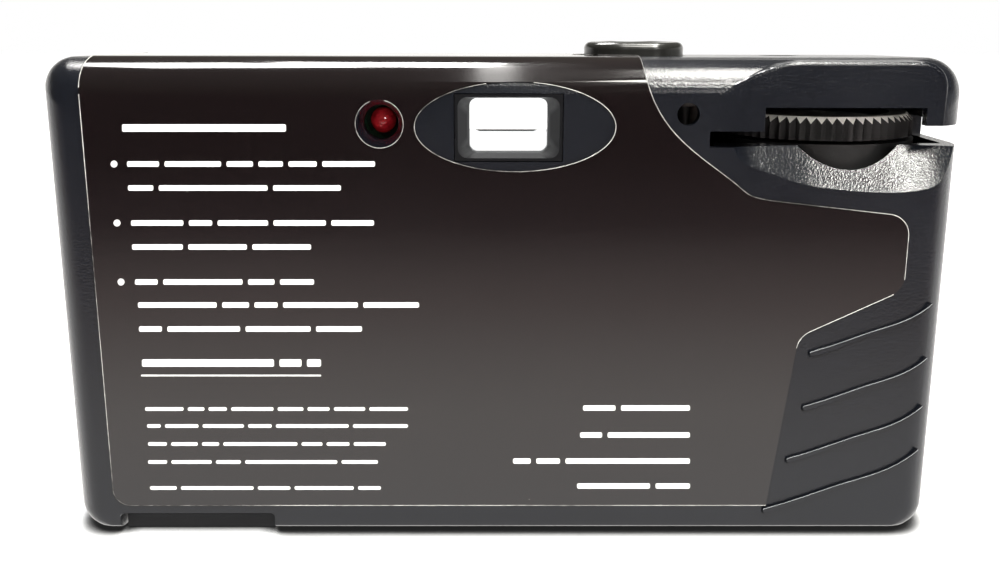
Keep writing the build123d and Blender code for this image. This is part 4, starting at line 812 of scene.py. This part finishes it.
def floor_material():
    """White floor with a painted contact shadow; in reflections it glows white near the object and fades to
    dark far behind it.
    """
    contact_reach = 0.0026
    fade_start, fade_scale = 0.017, 2.5
    material = bpy.data.materials.new("floor_pale")
    material.use_nodes = True
    tree = material.node_tree
    tree.nodes.clear()
    path = tree.nodes.new("ShaderNodeLightPath")
    plain = tree.nodes.new("ShaderNodeBsdfDiffuse")
    plain.inputs["Color"].default_value = (0.80, 0.80, 0.80, 1.0)
    contact = tree.nodes.new("ShaderNodeAmbientOcclusion")
    contact.samples = 8
    contact.inputs["Distance"].default_value = contact_reach
    # Painted contact shadow: ambient occlusion darkens the floor's shade and glow near the object
    near = stepped(tree, contact.outputs["AO"], [(0.45, 0.02), (0.62, 0.35), (0.85, 1.0)])
    shade = tree.nodes.new("ShaderNodeBsdfDiffuse")
    tree.links.new(joined(tree, "MULTIPLY", near, 0.34), shade.inputs["Color"])
    glow = tree.nodes.new("ShaderNodeEmission")
    glow.inputs["Color"].default_value = (1.0, 1.0, 1.0, 1.0)
    tree.links.new(joined(tree, "MULTIPLY", near, 0.80), glow.inputs["Strength"])
    both = tree.nodes.new("ShaderNodeAddShader")
    tree.links.new(shade.outputs[0], both.inputs[0])
    tree.links.new(glow.outputs[0], both.inputs[1])
    parts = tree.nodes.new("ShaderNodeSeparateXYZ")
    tree.links.new(place_node(tree), parts.inputs["Vector"])
    far = joined(tree, "SUBTRACT", parts.outputs["Y"], fade_start)
    fade = stepped(tree, joined(tree, "MULTIPLY", far, fade_scale, True), [
        (0.0, (0.98, 0.96, 0.94)), (0.12, (0.95, 0.90, 0.86)), (0.30, (0.55, 0.47, 0.45)),
        (0.55, (0.125, 0.098, 0.100)), (1.0, (0.03, 0.022, 0.022))])
    mirrored = tree.nodes.new("ShaderNodeEmission")
    mirrored.inputs["Strength"].default_value = 1.6
    tree.links.new(fade, mirrored.inputs["Color"])
    only_mirror = joined(tree, "SUBTRACT", path.outputs["Is Glossy Ray"],
                         path.outputs["Is Transmission Ray"], True)
    direct = mixed_shader(tree, seen_directly(tree, path), plain, both)
    whole = mixed_shader(tree, only_mirror, direct, mirrored)
    out = tree.nodes.new("ShaderNodeOutputMaterial")
    tree.links.new(whole.outputs[0], out.inputs["Surface"])
    return material


floor_half = 1.6


def make_floor():
    corners = [(x * floor_half, y * floor_half, 0) for x, y in ((-1, -1), (1, -1), (1, 1), (-1, 1))]
    data = bpy.data.meshes.new("floor")
    data.from_pydata(corners, [], [(0, 1, 2, 3)])
    data.materials.append(floor_material())
    thing = bpy.data.objects.new("floor", data)
    bpy.context.collection.objects.link(thing)


# Each lamp: name, direction, width, height, power, colour, axis that its height follows
lamp_distance = 0.95
lamp_target = Vector((0.0, 0.0, 0.04))
upright, depthwise = (0.0, 0.0, 1.0), (0.0, 1.0, 0.0)
lamp_table = [
    ("key", (0.29, -0.46, 0.84), 0.22, 0.27, 4.6, (1.0, 0.985, 0.96), upright),
    ("ceiling_strip", (0.0, 0.0, 1.0), 0.035, 1.2, 1.0, (1.0, 0.98, 0.95), depthwise),
    ("edge_light", (-0.235, -0.06, 0.97), 0.13, 0.50, 12.0, (1.0, 0.985, 0.93), depthwise),
    ("mouth_light", (0.11, -0.56, 0.82), 0.20, 0.26, 9.0, (1.0, 0.99, 0.97), depthwise),
    ("ramp_light", (-0.20, 0.52, 0.79), 0.14, 0.30, 3.4, (1.0, 0.99, 0.92), upright),
    ("ramp_spot", (-0.275, 0.53, 0.78), 0.06, 0.20, 6.0, (1.0, 0.99, 0.94), upright),
    ("slot_light", (-0.36, 0.88, 0.30), 0.30, 0.10, 1.8, (1.0, 0.97, 0.94), upright),
]


def lamp(name, direction, width, height, power, colour, along):
    """A flat lamp that faces the object."""
    data = bpy.data.lights.new(name, "AREA")
    data.shape = "RECTANGLE"
    data.size = width
    data.size_y = height
    data.energy = power
    data.color = colour
    thing = bpy.data.objects.new(name, data)
    back = Vector(direction).normalized()
    side = Vector(along).cross(back).normalized()
    thing.location = back * lamp_distance + lamp_target
    thing.rotation_euler = Matrix((side, back.cross(side), back)).transposed().to_euler()
    bpy.context.collection.objects.link(thing)


label_line, crest_line, crest_drop = 0.0001, 0.00008, 0.00004
bpy.context.scene.view_settings.view_transform = "Standard"
materials = make_materials()
dress_nodes(materials)
edge_lines("label_edge_lines", cut_edges("wrap_label"), label_line, cut_edge_material(), "camera")
# Painted highlight: thin pale lines along the upper borders of the rib crests
edge_lines("rib_crest_highlights", crest_edges("rear_cover", crest_drop), crest_line, crest_material(),
           "camera")
label_print(print_material())
counter_marks(materials["button_plastic"])
world_light()
make_floor()
for row in lamp_table:
    lamp(*row)
